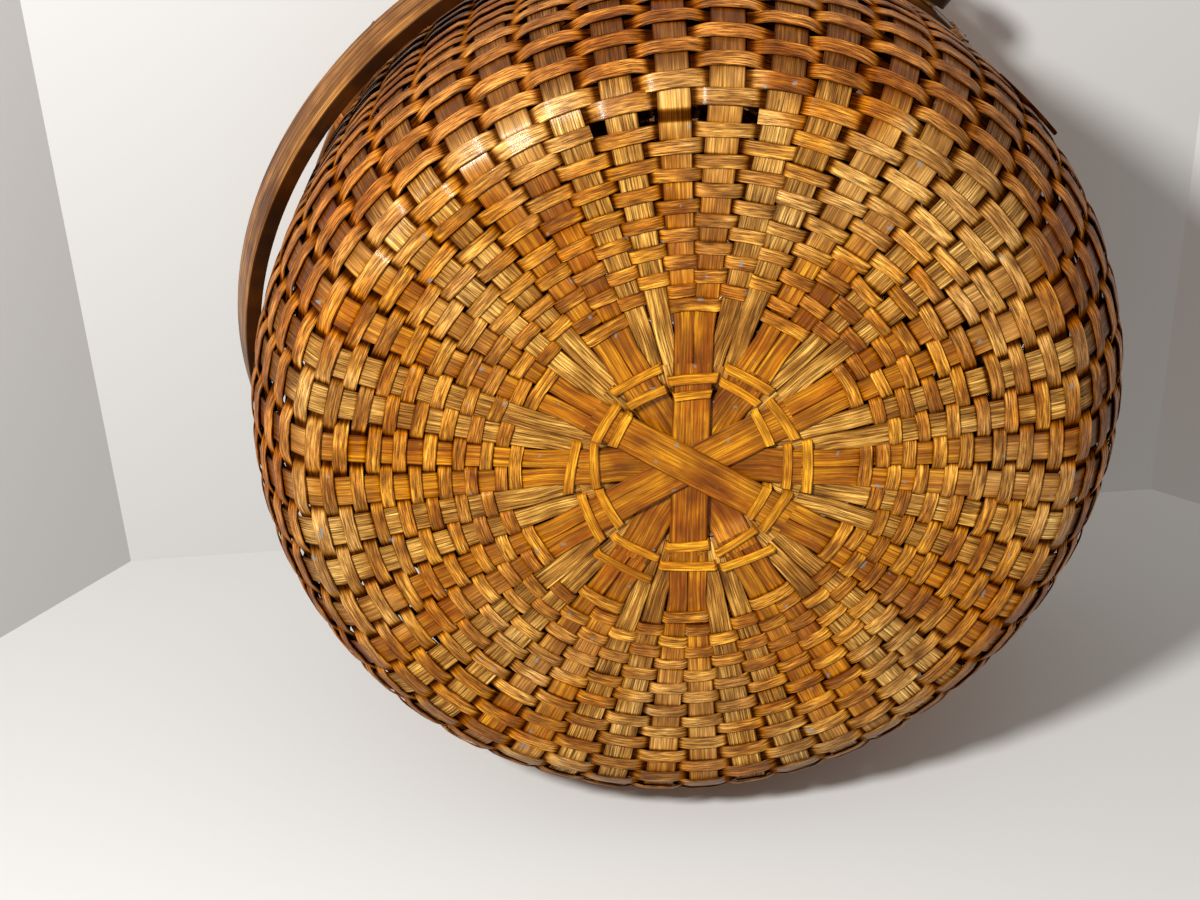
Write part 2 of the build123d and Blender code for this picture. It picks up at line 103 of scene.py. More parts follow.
class Graph:
    """A node tree that is written as calls, each of which adds one node."""

    def __init__(self, tree: bpy.types.NodeTree) -> None:
        """Take over a tree and empty it."""
        self.tree = tree
        tree.nodes.clear()

    def node(self, kind: str, inputs: dict | None = None, **settings: object) -> bpy.types.Node:
        """Add a node with its settings and its inputs.

        Args:
            kind: the node's type name.
            inputs: values or output sockets by the input's name or number.
            settings: the node's own properties.

        Returns:
            The new node.
        """
        node = self.tree.nodes.new(kind)
        for name, value in settings.items():
            setattr(node, name, value)
        for key, value in (inputs or {}).items():
            if isinstance(value, Socket):
                self.tree.links.new(value, node.inputs[key])
            else:
                node.inputs[key].default_value = value
        return node

    def add(self, kind: str, inputs: dict | None = None, **settings: object) -> Socket:
        """Add a node and give back its first output."""
        return self.node(kind, inputs, **settings).outputs[0]

    def math(self, operation: str, *values: Value) -> Socket:
        """A Math node's result."""
        return self.add("ShaderNodeMath", dict(enumerate(values)), operation=operation)

    def vector(self, operation: str, first: Socket, second: Value) -> Socket:
        """A Vector Math node's vector, where SCALE takes a number as its second value."""
        key = "Scale" if operation == "SCALE" else 1
        return self.add("ShaderNodeVectorMath", {0: first, key: second}, operation=operation)

    def mix(self, kind: str, factor: Value, first: Value, second: Value) -> Socket:
        """Mix two colours in one of the blend types."""
        inputs = {0: factor, 6: first, 7: second}  # a colour mix has its colours in these inputs
        return self.node("ShaderNodeMix", inputs, data_type="RGBA", blend_type=kind).outputs[2]

    def ramp(
        self, value: Socket, low: float, high: float, start: float = 0.0, end: float = 1.0,
        shape: str = "SMOOTHSTEP",
    ) -> Socket:
        """Map a value from one range to another.

        Args:
            value: what is read.
            low: its level at which the result is start.
            high: its level at which the result is end.
            start: the result at the low level and beyond it.
            end: the result at the high level and beyond it.
            shape: how the result goes from one to the other.

        Returns:
            The result.
        """
        inputs = {"Value": value, "From Min": low, "From Max": high, "To Min": start, "To Max": end}
        return self.add("ShaderNodeMapRange", inputs, interpolation_type=shape)

    def noise(self, place: Socket, scale: float, detail: float, roughness: float = 0.5) -> Socket:
        """Noise from 0 to 1 at a place."""
        inputs = {"Vector": place, "Scale": scale, "Detail": detail, "Roughness": roughness}
        return self.add("ShaderNodeTexNoise", inputs)


# --- Forms: the surfaces that the splints follow ---------------------------------------------


@dataclass
class Meridian:
    """Half section of a surface of revolution, read by its running length.

    Args:
        points: radius and height of the section's points, from the axis outwards.
        facing: 1 where the outside is to the right of the way the section runs, else -1.
        oval: how far the lower part is drawn out to an oval, as a share of the radius.
        oval_angle: angle of the oval's long axis.
        oval_fade: heights between which the oval turns into a circle.
    """

    points: np.ndarray
    facing: float = 1.0
    oval: float = 0.0
    oval_angle: float = math.radians(7.5)
    oval_fade: tuple[float, float] = (0.060, 0.125)
    run: np.ndarray = field(init=False)
    tangent: np.ndarray = field(init=False)

    def __post_init__(self) -> None:
        """Measure the section and its direction."""
        self.run = run_length(self.points)
        self.tangent = unit(np.gradient(self.points, self.run, axis=0))

    @property
    def length(self) -> float:
        """Whole running length."""
        return float(self.run[-1])

    def _read(self, run: np.ndarray | float, line: np.ndarray, axis: int) -> np.ndarray:
        """One column of the section's points or directions at a running length."""
        return np.interp(run, self.run, line[:, axis])

    def radius_at(self, run: np.ndarray | float) -> np.ndarray:
        """Radius at a running length."""
        return self._read(run, self.points, 0)

    def height_at(self, run: np.ndarray | float) -> np.ndarray:
        """Height at a running length."""
        return self._read(run, self.points, 1)

    def run_at_height(self, height: float) -> float:
        """Running length where the section last reaches a height."""
        return float(np.interp(height, self.points[:, 1], self.run))

    def run_at_radius(self, radius: float) -> float:
        """Running length where the section reaches a radius on its way out."""
        return float(np.interp(radius, self.points[:, 0], self.run))

    def place(self, run: np.ndarray, angle: np.ndarray, offset: np.ndarray) -> np.ndarray:
        """Points at a running length and angle, moved off the surface by an offset.

        Args:
            run: running length of each point.
            angle: angle of each point.
            offset: how far each point lies off the surface.

        Returns:
            The points.
        """
        run, angle, offset = np.broadcast_arrays(run, angle, offset)
        radius, height = self.radius_at(run), self.height_at(run)
        across, upward = self._read(run, self.tangent, 0), self._read(run, self.tangent, 1)
        radius = radius + offset * upward * self.facing
        low, high = self.oval_fade
        share = 1 - ease((height - low) / (high - low))
        radius = radius * (1 + self.oval * share * np.cos(2 * (angle - self.oval_angle)))
        return polar(radius, angle, height - offset * across * self.facing)

    def along(self, run: np.ndarray, angle: np.ndarray) -> np.ndarray:
        """Direction in which the section runs, at a running length and angle."""
        run, angle = np.broadcast_arrays(run, angle)
        return polar(self._read(run, self.tangent, 0), angle, self._read(run, self.tangent, 1))

    def outward(self, run: np.ndarray, angle: np.ndarray) -> np.ndarray:
        """Direction off the surface, at a running length and angle.

        Args:
            run: running length of each point.
            angle: angle of each point.

        Returns:
            The directions.
        """
        run, angle = np.broadcast_arrays(run, angle)
        across, upward = self._read(run, self.tangent, 0), self._read(run, self.tangent, 1)
        return polar(upward * self.facing, angle, -across * self.facing)


@dataclass
class BodyForm:
    """Sizes of the woven body, and the middle of its weave as a meridian.

    Args:
        widest_radius: radius where the side bulges most.
        widest_height: height of that place.
        base_radius: radius where the base turns up.
        rim_radius: radius at the rim.
        rim_height: height of the rim.
        base_level: height of the middle of the base's weave.
        edge_level: the same at the edge of the base.
        turn_softness: how softly the base turns into the side.
        oval: how far the base is drawn out to an oval, as a share of the radius.
    """

    STEP = 0.25 * MM  # between the section's points
    RAMP = 6 * MM  # stretch in which the base rises to its edge
    RAMP_POINTS = 20

    widest_radius: float = 143.0 * MM
    widest_height: float = 50.0 * MM
    base_radius: float = 121.0 * MM
    rim_radius: float = 136.0 * MM
    rim_height: float = 150.0 * MM
    base_level: float = 1.45 * MM
    edge_level: float = 2.65 * MM
    turn_softness: float = 3.0 * MM
    oval: float = 0.017
    meridian: Meridian = field(init=False)

    def arc(self, bulge: float, height: float) -> float:
        """Radius of the arc that bulges by so much over a height."""
        return (bulge**2 + height**2) / (2 * bulge)

    def __post_init__(self) -> None:
        """Lay out the base, the turn and the two arcs of the wall, with the turn rounded off."""
        step = self.STEP
        flat = np.arange(0.0, self.base_radius - self.RAMP, step)
        base = np.stack([flat, np.full_like(flat, self.base_level)], axis=1)
        ramp_start = (flat[-1] + step, self.base_level)
        ramp = np.linspace(ramp_start, (self.base_radius, self.edge_level), self.RAMP_POINTS)
        lower = self.arc(self.widest_radius - self.base_radius, self.widest_height - self.edge_level)
        upper = self.arc(self.widest_radius - self.rim_radius, self.rim_height - self.widest_height)
        heights = np.arange(self.edge_level + step, self.rim_height + step / 2, step)
        arc = np.where(heights < self.widest_height, lower, upper)
        drop = arc - np.sqrt(arc**2 - (heights - self.widest_height) ** 2)
        wall = np.stack([self.widest_radius - drop, heights], axis=1)
        points = np.concatenate([base, ramp, wall])
        reach = int(3 * self.turn_softness / step)
        kernel = np.exp(-0.5 * (np.arange(-reach, reach + 1) * step / self.turn_softness) ** 2)
        padded = np.pad(points, ((reach, reach), (0, 0)), mode="reflect", reflect_type="odd")
        kernel /= kernel.sum()
        smooth = np.stack([np.convolve(padded[:, i], kernel, "valid") for i in (0, 1)], axis=1)
        self.meridian = Meridian(smooth, oval=self.oval)


@dataclass
class LidForm:
    """Sizes of the lid's dome, and the middle of its weave as a meridian.

    Args:
        hole_radius: radius of the fish hole.
        hole_hoop: outer radius of the hoop round it.
        skirt_radius: radius of the lid's edge, between its hoops.
        edge_height: height of the dome at its edge.
        rise: how much higher its middle is.
        tuck: how far the edge turns outwards and down between the hoops.
    """

    START = 20 * MM  # radius where the section starts, inside the fish hole
    DOME_POINTS = 400
    TUCK_POINTS = 25

    hole_radius: float = 25.0 * MM
    hole_hoop: float = 29.0 * MM
    skirt_radius: float = 136.474 * MM
    edge_height: float = 164.45 * MM
    rise: float = 14.0 * MM
    tuck: tuple[float, float] = (3.4 * MM, 7.0 * MM)
    meridian: Meridian = field(init=False)

    def dome_height(self, radius: np.ndarray | float) -> np.ndarray:
        """Height of the dome at a radius."""
        arc = (self.skirt_radius**2 + self.rise**2) / (2 * self.rise)
        return self.edge_height + self.rise - arc + np.sqrt(arc**2 - radius**2)

    def __post_init__(self) -> None:
        """Lay out the dome from near its middle, and the edge that is clamped between the hoops."""
        radii = np.linspace(self.START, self.skirt_radius - self.tuck[0], self.DOME_POINTS)
        dome = np.stack([radii, self.dome_height(radii)], axis=1)
        turn = np.linspace(0, math.pi / 2, self.TUCK_POINTS)[1:]
        reach, drop = self.tuck
        down = dome[-1] + np.stack([reach * np.sin(turn), -drop * (1 - np.cos(turn))], axis=1)
        self.meridian = Meridian(np.concatenate([dome, down]), facing=-1.0)


# --- Strands: what one splint is before it gets its thickness --------------------------------


VECTORS = ("centre", "across", "face")  # what the sweep reads at each point of a strand
SINGLES = ("half_width", "half_thick", "tone", "buried", "lane")


@dataclass
class Strand:
    """One splint: its centre line, and at each point where its width and its face point.

    Args:
        centre: points of the centre line.
        across: rough direction of the width at each point.
        facing: rough direction of the outer face at each point.
        half_width: half the width at each point.
        half_thick: half the thickness at each point.
        tone: from 0 to 1, how dark this splint came out of the varnish.
        buried: from 0 to 1 at each point, how deep it lies in the weave, which the finish paints as shade.
        lane: how far the strand lies from the middle of the strip that it was split from.
        start: running length of its first point, which moves its grain along.
    """

    centre: np.ndarray
    across: np.ndarray
    facing: np.ndarray
    half_width: np.ndarray | float
    half_thick: np.ndarray | float
    tone: float = 0.5
    buried: np.ndarray | float = 0.0
    lane: np.ndarray | float = 0.0
    start: float = 0.0

    def frame(self) -> tuple[np.ndarray, np.ndarray]:
        """Square up the width and the face against the centre line.

        Returns:
            The width's direction and the face's direction at each point.
        """
        ahead = unit(np.gradient(self.centre, axis=0))
        across = self.across - (self.across * ahead).sum(1, keepdims=True) * ahead
        across = unit(across)
        face = np.cross(ahead, across)
        turned = np.sign((face * self.facing).sum(1).sum())
        across = across * turned
        return across, np.cross(ahead, across)


def ring_strand(
    radius: np.ndarray, angle: np.ndarray, height: np.ndarray, half_width: float,
    half_thick: np.ndarray | float, tone: float = 0.5,
) -> Strand:
    """A strand that goes round the basket's axis, as wide as it is tall.

    Args:
        radius: its radius at each angle.
        angle: the angles that it passes.
        height: its height at each angle.
        half_width: half its height.
        half_thick: half its depth.
        tone: how dark it is.

    Returns:
        The ring.
    """
    upright = np.tile([0.0, 0.0, 1.0], (len(angle), 1))
    facing = polar(np.ones_like(angle), angle, 0 * angle)
    return Strand(polar(radius, angle, height), upright, facing, half_width, half_thick, tone=tone)


def laid_strand(
    meridian: Meridian, run: np.ndarray, angle: np.ndarray, offset: np.ndarray | float, **facts: object
) -> Strand:
    """A strand that goes round on a surface, with its width along the surface's section.

    Args:
        meridian: the surface's section.
        run: running length of each point.
        angle: angle of each point.
        offset: how far each point lies off the surface.
        facts: the strand's other fields.

    Returns:
        The strand.
    """
    across, facing = meridian.along(run, angle), meridian.outward(run, angle)
    return Strand(meridian.place(run, angle, offset), across, facing, **facts)


def strand_mesh(name: str, strands: Sequence[Strand]) -> bpy.types.Mesh:
    """Write strands into one mesh of edges, with the facts that the sweep reads as attributes.

    Args:
        name: the mesh's name.
        strands: the splints of one piece.

    Returns:
        A mesh with no faces.
    """
    counts = [len(s.centre) for s in strands]
    total = sum(counts)
    data = {key: np.zeros((total, 3)) for key in VECTORS}
    single = {key: np.zeros(total) for key in ("run", *SINGLES)}
    edges, begin = [], 0
    for strand, count in zip(strands, counts):
        part = slice(begin, begin + count)
        for key, value in zip(VECTORS, (strand.centre, *strand.frame())):
            data[key][part] = value
        single["run"][part] = strand.start + run_length(strand.centre)
        for key in SINGLES:
            single[key][part] = getattr(strand, key)
        order = np.arange(begin, begin + count - 1)
        edges.append(np.stack([order, order + 1], axis=1))
        begin += count
    mesh = bpy.data.meshes.new(name)
    mesh.vertices.add(total)
    mesh.vertices.foreach_set("co", data["centre"].astype(np.float32).ravel())
    pairs = np.concatenate(edges)
    mesh.edges.add(len(pairs))
    mesh.edges.foreach_set("vertices", pairs.astype(np.int32).ravel())
    for layers, kind, entry in ((data, "FLOAT_VECTOR", "vector"), (single, "FLOAT", "value")):
        for key, values in layers.items():
            layer = mesh.attributes.new(key, kind, "POINT")
            layer.data.foreach_set(entry, values.astype(np.float32).ravel())
    mesh.update()
    return mesh


# --- The sweep: one geometry tree gives every strand its section -------------------------------


@dataclass(frozen=True)
class Section:
    """Cross-section of a swept strand.

    Args:
        sides: how many faces go round it.
        flatness: 1 is an oval, and less is closer to a rectangle.
        crown: the same for the thickness: 1 is round, and less has fuller edges.
        waver: how unevenly the width was split, as a share.
        seed: picks the unevenness.
    """

    sides: int = 10
    flatness: float = 0.7
    crown: float = 0.75
    waver: float = 0.05
    seed: int = 1


class SweepTree(Graph):
    """Geometry tree that turns the edges of strands into closed splints."""

    NAME = "splint sweep"
    INPUTS = (
        ("Sides", "NodeSocketInt"), ("Flatness", "NodeSocketFloat"), ("Crown", "NodeSocketFloat"),
        ("Waver", "NodeSocketFloat"), ("Seed", "NodeSocketInt"), ("Material", "NodeSocketMaterial"),
    )
    WAVER_LENGTH = 22 * MM  # stretch in which a splint goes from wide to narrow
    WAVER_DETAIL = 2.0
    TONE_STRIDE, SEED_STRIDE = 97.0, 13.7  # how far apart in the noise two strands or seeds lie
    ARRIS_ANGLE = math.radians(38)  # edges that turn more than this stay crisp
    # Attributes that only the sweep reads, and that no finish needs.
    SPARE = (*VECTORS, "half_width", "half_thick", "run", "lane", "section_u", "section_v")

    def __init__(self) -> None:
        super().__init__(bpy.data.node_groups.new(self.NAME, "GeometryNodeTree"))
        face = self.tree.interface
        face.new_socket("Geometry", in_out="INPUT", socket_type="NodeSocketGeometry")
        self.sockets = {
            name: face.new_socket(name, in_out="INPUT", socket_type=kind).identifier
            for name, kind in self.INPUTS
        }
        face.new_socket("Geometry", in_out="OUTPUT", socket_type="NodeSocketGeometry")
        entry = self.node("NodeGroupInput").outputs
        tube = self._shaded(self._tube(entry))
        tube = self.add("GeometryNodeSetMaterial", {"Geometry": tube, "Material": entry["Material"]})
        self.node("NodeGroupOutput", {0: tube})

    def _named(self, name: str, kind: str = "FLOAT") -> Socket:
        """A named attribute's value."""
        return self.add("GeometryNodeInputNamedAttribute", {"Name": name}, data_type=kind)

    def _rounded(self, value: Socket, power: Socket) -> Socket:
        """The value's size raised to a power, with its sign kept."""
        size = self.math("POWER", self.math("ABSOLUTE", value), power)
        return self.math("MULTIPLY", size, self.math("SIGN", value))

    def _store(
        self, geometry: Socket, name: str, value: Socket, kind: str = "FLOAT", domain: str = "POINT"
    ) -> Socket:
        """Keep a value on the geometry under a name."""
        inputs = {"Geometry": geometry, "Name": name, "Value": value}
        return self.add("GeometryNodeStoreNamedAttribute", inputs, data_type=kind, domain=domain)

    def _ring(self, entry: bpy.types.bpy_prop_collection) -> Socket:
        """The section's outline, with the place of each of its points kept on it.

        Args:
            entry: the tree's inputs.

        Returns:
            The outline as a curve.
        """
        size = {"Resolution": entry["Sides"], "Radius": 1.0}
        ring = self.add("GeometryNodeCurvePrimitiveCircle", size, mode="RADIUS")
        place = self.add("GeometryNodeInputPosition")
        split = self.node("ShaderNodeSeparateXYZ", {0: place}).outputs
        ring = self._store(ring, "section_u", self._rounded(split[0], entry["Flatness"]))
        return self._store(ring, "section_v", self._rounded(split[1], entry["Crown"]))

    def _half_width(self, entry: bpy.types.bpy_prop_collection) -> Socket:
        """Half the splint's width along its run, as unevenly as it was split.

        Args:
            entry: the tree's inputs.

        Returns:
            The half width at each point.
        """
        place = self.math("MULTIPLY", self._named("run"), 1 / self.WAVER_LENGTH)
        for source, stride in ((self._named("tone"), self.TONE_STRIDE), (entry["Seed"], self.SEED_STRIDE)):
            place = self.math("ADD", place, self.math("MULTIPLY", source, stride))
        inputs = {"W": place, "Scale": 1.0, "Detail": self.WAVER_DETAIL}
        wave = self.add("ShaderNodeTexNoise", inputs, noise_dimensions="1D")
        swing = self.math("MULTIPLY", self.math("SUBTRACT", wave, 0.5), entry["Waver"])
        return self.math("MULTIPLY", self._named("half_width"), self.math("MULTIPLY_ADD", swing, 2.0, 1.0))

    def _tube(self, entry: bpy.types.bpy_prop_collection) -> Socket:
        """The section laid round each strand, with the facts that the finishes read.

        Args:
            entry: the tree's inputs.

        Returns:
            The mesh.
        """
        ring = self._ring(entry)
        lines = self.add("GeometryNodeMeshToCurve", {0: entry["Geometry"]})
        inputs = {"Curve": lines, "Profile Curve": ring, "Fill Caps": True}
        tube = self.add("GeometryNodeCurveToMesh", inputs)
        sideways = self.math("MULTIPLY", self._named("section_u"), self._half_width(entry))
        upwards = self.math("MULTIPLY", self._named("section_v"), self._named("half_thick"))
        reach = self.vector(
            "ADD", self.vector("SCALE", self._named("across", "FLOAT_VECTOR"), sideways),
            self.vector("SCALE", self._named("face", "FLOAT_VECTOR"), upwards),
        )
        spot = self.vector("ADD", self._named("centre", "FLOAT_VECTOR"), reach)
        tube = self.add("GeometryNodeSetPosition", {"Geometry": tube, "Position": spot})
        lane = self.math("ADD", sideways, self._named("lane"))
        flat = self.add("ShaderNodeCombineXYZ", {0: self._named("run"), 1: lane})
        tube = self._store(tube, "splint", flat, "FLOAT2", "CORNER")
        return self._store(tube, "side", self._named("section_u"))

    def _shaded(self, tube: Socket) -> Socket:
        """The tube shaded smooth except over its arrises.

        Args:
            tube: the mesh.

        Returns:
            The mesh with its shading.
        """
        tube = self.add("GeometryNodeSetShadeSmooth", {0: tube})
        bend = self.add("GeometryNodeInputMeshEdgeAngle")
        crisp = self.math("GREATER_THAN", bend, self.ARRIS_ANGLE)
        inputs = {"Geometry": tube, "Selection": crisp, "Shade Smooth": False}
        tube = self.add("GeometryNodeSetShadeSmooth", inputs, domain="EDGE")
        return self.add("GeometryNodeRealizeInstances", {0: tube})

    def _swept(
        self, name: str, strands: Sequence[Strand], section: Section, material: bpy.types.Material
    ) -> bpy.types.Mesh:
        """Give strands their section.

        Args:
            name: the mesh's name.
            strands: the splints of one piece.
            section: their cross-section.
            material: the finish that they take.

        Returns:
            One closed mesh.
        """
        carrier = bpy.data.objects.new(name, strand_mesh(name, strands))
        bpy.context.scene.collection.objects.link(carrier)
        modifier = carrier.modifiers.new("sweep", "NODES")
        modifier.node_group = self.tree
        values = {
            "Sides": section.sides, "Flatness": section.flatness, "Crown": section.crown,
            "Waver": section.waver, "Seed": section.seed, "Material": material,
        }
        for label, value in values.items():
            modifier[self.sockets[label]] = value
        graph = bpy.context.evaluated_depsgraph_get()
        mesh = bpy.data.meshes.new_from_object(carrier.evaluated_get(graph))
        bpy.data.objects.remove(carrier)
        for spare in self.SPARE:
            layer = mesh.attributes.get(spare)
            if layer is not None:
                mesh.attributes.remove(layer)
        mesh.name = name
        return mesh

    def piece(
        self, node: str, suffix: str, strands: Sequence[Strand], section: Section,
        material: bpy.types.Material, body: str, slot: str,
    ) -> None:
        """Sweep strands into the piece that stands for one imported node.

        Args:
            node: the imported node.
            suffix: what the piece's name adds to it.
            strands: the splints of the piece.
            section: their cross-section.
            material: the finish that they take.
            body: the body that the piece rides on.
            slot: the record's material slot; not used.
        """
        name = f"{node}_{suffix}"
        finish_piece(self._swept(name, strands, section, material), name, body, node)


def finish_piece(mesh: bpy.types.Mesh, name: str, body: str, node: str) -> None:
    """Make a mesh a piece of the object.

    Args:
        mesh: the piece's final mesh, in the part's frame.
        name: the piece's name.
        body: the body that it rides on.
        node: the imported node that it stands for.
    """
    piece = bpy.data.objects.new(name, mesh)
    bpy.context.scene.collection.objects.link(piece)
    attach(piece, body)
    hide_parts(node)
    LOG.info("%s rides on %s: %d faces", name, body, len(mesh.polygons))


# --- Finishes --------------------------------------------------------------------------------


@dataclass(frozen=True)
class SplintFinish:
    """Hand-split ash under old shellac: coarse fibres, dark pores, varnish pooled in patches, painted shade
    in the weave.

    The shellac gives an amber depth and an uneven shine over torn wood, so the colour is
    streaked along the splint, the fibres stand up in relief and a thin coat lies over them.
    Fibres are drawn wider than life, because finer ones wouldn't show.

    Args:
        name: the material's name.
        light: colour of the wood where the varnish is thin.
        deep: colour of the wood where the varnish is thick.
        pore: colour of the open pores.
        aged: what smoke and handling multiply the side's colour by.
        worn: colour of the patches that are rubbed bare.
        fibre: how strongly light fibres, brightened further as painted glints, and pores differ, from 0 to 1.
        fibre_depth: how deep the grain is cut, in metres.
        roughness: of the varnish.
        fibre_pitch: distance between the fibres, in metres.
        fibre_length: length of a streak, in metres.
        ageing: how far the side has turned to the aged colour.
        edge_level: brightness of a splint's two edges against its middle; darker edges are painted shade,
            lighter ones worn arrises.
        low_side_level: painted shade on the edge that its width's direction points away from.
        specks: how strongly grey-blue specks show, from 0 to 1.
        variety: how much lighter or darker one stretch of a splint is than the next.
        coat: weight of the clear coat, from 0 to 1.
    """

    name: str
    light: str
    deep: str
    pore: str
    aged: str
    worn: str = "C0924C"
    fibre: float = 0.6
    fibre_depth: float = 0.10 * MM
    roughness: float = 0.40
    fibre_pitch: float = 0.62 * MM
    fibre_length: float = 8 * MM
    ageing: float = 1.0
    edge_level: float = 0.45
    low_side_level: float = 1.0
    specks: float = 0.0
    variety: float = 0.3
    coat: float = 0.35

    def material(self) -> bpy.types.Material:
        """Build the material.

        Returns:
            The material.
        """
        made = bpy.data.materials.new(self.name)
        made.use_nodes = True
        SplintShader(made.node_tree, self).build()
        return made


class SplintShader(Graph):
    """The nodes of one splint finish.

    A range is two levels of what is read, and mostly the results at them too.
    """

    VARNISH = (1.0, 1.28, 1.8)  # how fast red, green and blue fade under more varnish and in the painted shade
    TONE_STRIDE = 41.0  # how far apart in the noise two splints lie
    FIBRE_NOISE = (4.0, 0.62)  # its detail and roughness
    FIGURE_STRETCH = (9.0, 3.6)  # a streak of figure against a fibre, along and across
    FIGURE_RANGE = (0.34, 0.66, 0.0, 0.8)
    GLAZE_SIZE, GLAZE_NOISE = 26 * MM, (4.0, 0.62)
    GLAZE_RANGE = (0.44, 0.62, 0.0, 0.7)
    TONE_RANGE = (0.25, 1.0, 0.0, 0.55)
    WORN_SIZE, WORN_RANGE = 48 * MM, (0.40, 0.60, 0.0, 0.55)
    WORN_REACH = (55 * MM, 100 * MM)  # distances from the origin between which wear sets in
    SIDE_START = (1.0 * MM, 12 * MM)  # heights between which the base's colour turns into the side's
    PATCH_SIZE, PATCH_RANGE = (14 * MM, 9 * MM), (0.32, 0.68)
    BROAD_DETAIL = 2.0  # of the figure, the worn parts and the patches
    # Light fibres are brightened past the wood's own colour, as painted glints
    PORE_RANGE, LIT_RANGE, LIT_GAIN = (0.52, 0.36), (0.50, 0.66), 1.15
    SPECK_SIZE, SPECK_RANGE, SPECK_COLOUR = 3.2 * MM, (0.80, 0.83), "7C8C90"
    # Painted shade where a splint goes in under the weave
    BURIED_RANGE = (0.22, 0.95, 1.0, 0.10)
    # Painted shade along a splint's darker edges and on its underside; edges lighter than the middle are worn
    # arrises
    EDGE_RANGE, LOW_SIDE_RANGE = (0.84, 0.96), (-0.93, -0.97)
    ROUGH_RANGE, ROUGH_SPREAD = (0.62, 0.36), 0.3
    BARE_RANGE = (0.0, 0.25, 1.0, 0.0)  # how deep a splint lies, to how freely it can shine
    GLEAM, GLEAM_TINT = 0.28, "FFE2B0"
    REFRACTION, COAT_ROUGHNESS = 1.5, 0.20

    def __init__(self, tree: bpy.types.NodeTree, finish: SplintFinish) -> None:
        """Read what the sweep left on the splint.

        Args:
            tree: the material's tree.
            finish: the looks that it gets.
        """
        super().__init__(tree)
        self.finish = finish
        self.flat = self.add("ShaderNodeUVMap", uv_map="splint")
        self.spot = self.node("ShaderNodeTexCoord").outputs["Object"]
        self.tone, self.buried, self.side = (
            self.node("ShaderNodeAttribute", attribute_name=name).outputs["Fac"]
            for name in ("tone", "buried", "side")
        )
        self.edge = self.math("ABSOLUTE", self.side)
        apart = self.add("ShaderNodeCombineXYZ", {"Z": self.tone})
        self.apart = self.vector("SCALE", apart, self.TONE_STRIDE)
        fibres_at = self._stretched(finish.fibre_length, finish.fibre_pitch)
        self.fibres = self.noise(fibres_at, 1.0, *self.FIBRE_NOISE)

    def _stretched(self, length: float, pitch: float) -> Socket:
        """The splint's own coordinates, stretched so that one unit is a streak long and wide."""
        scaled = self.vector("MULTIPLY", self.flat, (1 / length, 1 / pitch, 1.0))
        return self.vector("ADD", scaled, self.apart)

    def _varnished(self, colour: Socket, factor: Socket) -> Socket:
        """Brighten or darken a colour; the darker it gets the redder it turns, as in thick varnish."""
        parts = {axis: self.math("POWER", factor, power) for axis, power in enumerate(self.VARNISH)}
        return self.vector("MULTIPLY", colour, self.add("ShaderNodeCombineXYZ", parts))

    def _wood(self) -> Socket:
        """Colour of the wood: its figure, the glaze, wear and the smoke on the side.

        Returns:
            The colour.
        """
        finish, deep = self.finish, srgb(self.finish.deep)
        along, across = self.FIGURE_STRETCH
        figure_at = self._stretched(along * finish.fibre_length, across * finish.fibre_pitch)
        figure = self.noise(figure_at, 1.0, self.BROAD_DETAIL)
        glaze = self.noise(self.spot, 1 / self.GLAZE_SIZE, *self.GLAZE_NOISE)
        colour = self.mix("MIX", self.ramp(figure, *self.FIGURE_RANGE), srgb(finish.light), deep)
        colour = self.mix("MIX", self.ramp(glaze, *self.GLAZE_RANGE), colour, deep)
        colour = self.mix("MIX", self.ramp(self.tone, *self.TONE_RANGE), colour, deep)
        rubbed = self.ramp(self.noise(self.spot, 1 / self.WORN_SIZE, self.BROAD_DETAIL), *self.WORN_RANGE)
        distance = self.node("ShaderNodeVectorMath", {0: self.spot}, operation="LENGTH").outputs["Value"]
        rubbed = self.math("MULTIPLY", rubbed, self.ramp(distance, *self.WORN_REACH))
        colour = self.mix("MIX", rubbed, colour, srgb(finish.worn))
        height = self.node("ShaderNodeSeparateXYZ", {0: self.spot}).outputs["Z"]
        upright = self.ramp(height, *self.SIDE_START, 0.0, finish.ageing)
        return self.mix("MULTIPLY", upright, colour, srgb(finish.aged))

    def _grained(self, colour: Socket) -> Socket:
        """The wood with lighter and darker stretches, pores, bright fibres with painted glints, and specks.

        Args:
            colour: of the wood.

        Returns:
            The colour with its grain.
        """
        finish = self.finish
        patch = self.noise(self._stretched(*self.PATCH_SIZE), 1.0, self.BROAD_DETAIL)
        uneven = self.ramp(patch, *self.PATCH_RANGE, 1 - finish.variety, 1 + finish.variety)
        colour = self._varnished(colour, uneven)
        pores = self.ramp(self.fibres, *self.PORE_RANGE, 0.0, finish.fibre)
        colour = self.mix("MIX", pores, colour, srgb(finish.pore))
        # light fibres brightened further as painted glints
        lit = self.ramp(self.fibres, *self.LIT_RANGE, 1.0, 1.0 + self.LIT_GAIN * finish.fibre)
        colour = self._varnished(colour, lit)
        if finish.specks:
            marks = self.ramp(self.noise(self.spot, 1 / self.SPECK_SIZE, 0.0), *self.SPECK_RANGE)
            marks = self.math("MULTIPLY", marks, finish.specks)
            colour = self.mix("MIX", marks, colour, srgb(self.SPECK_COLOUR))
        return colour

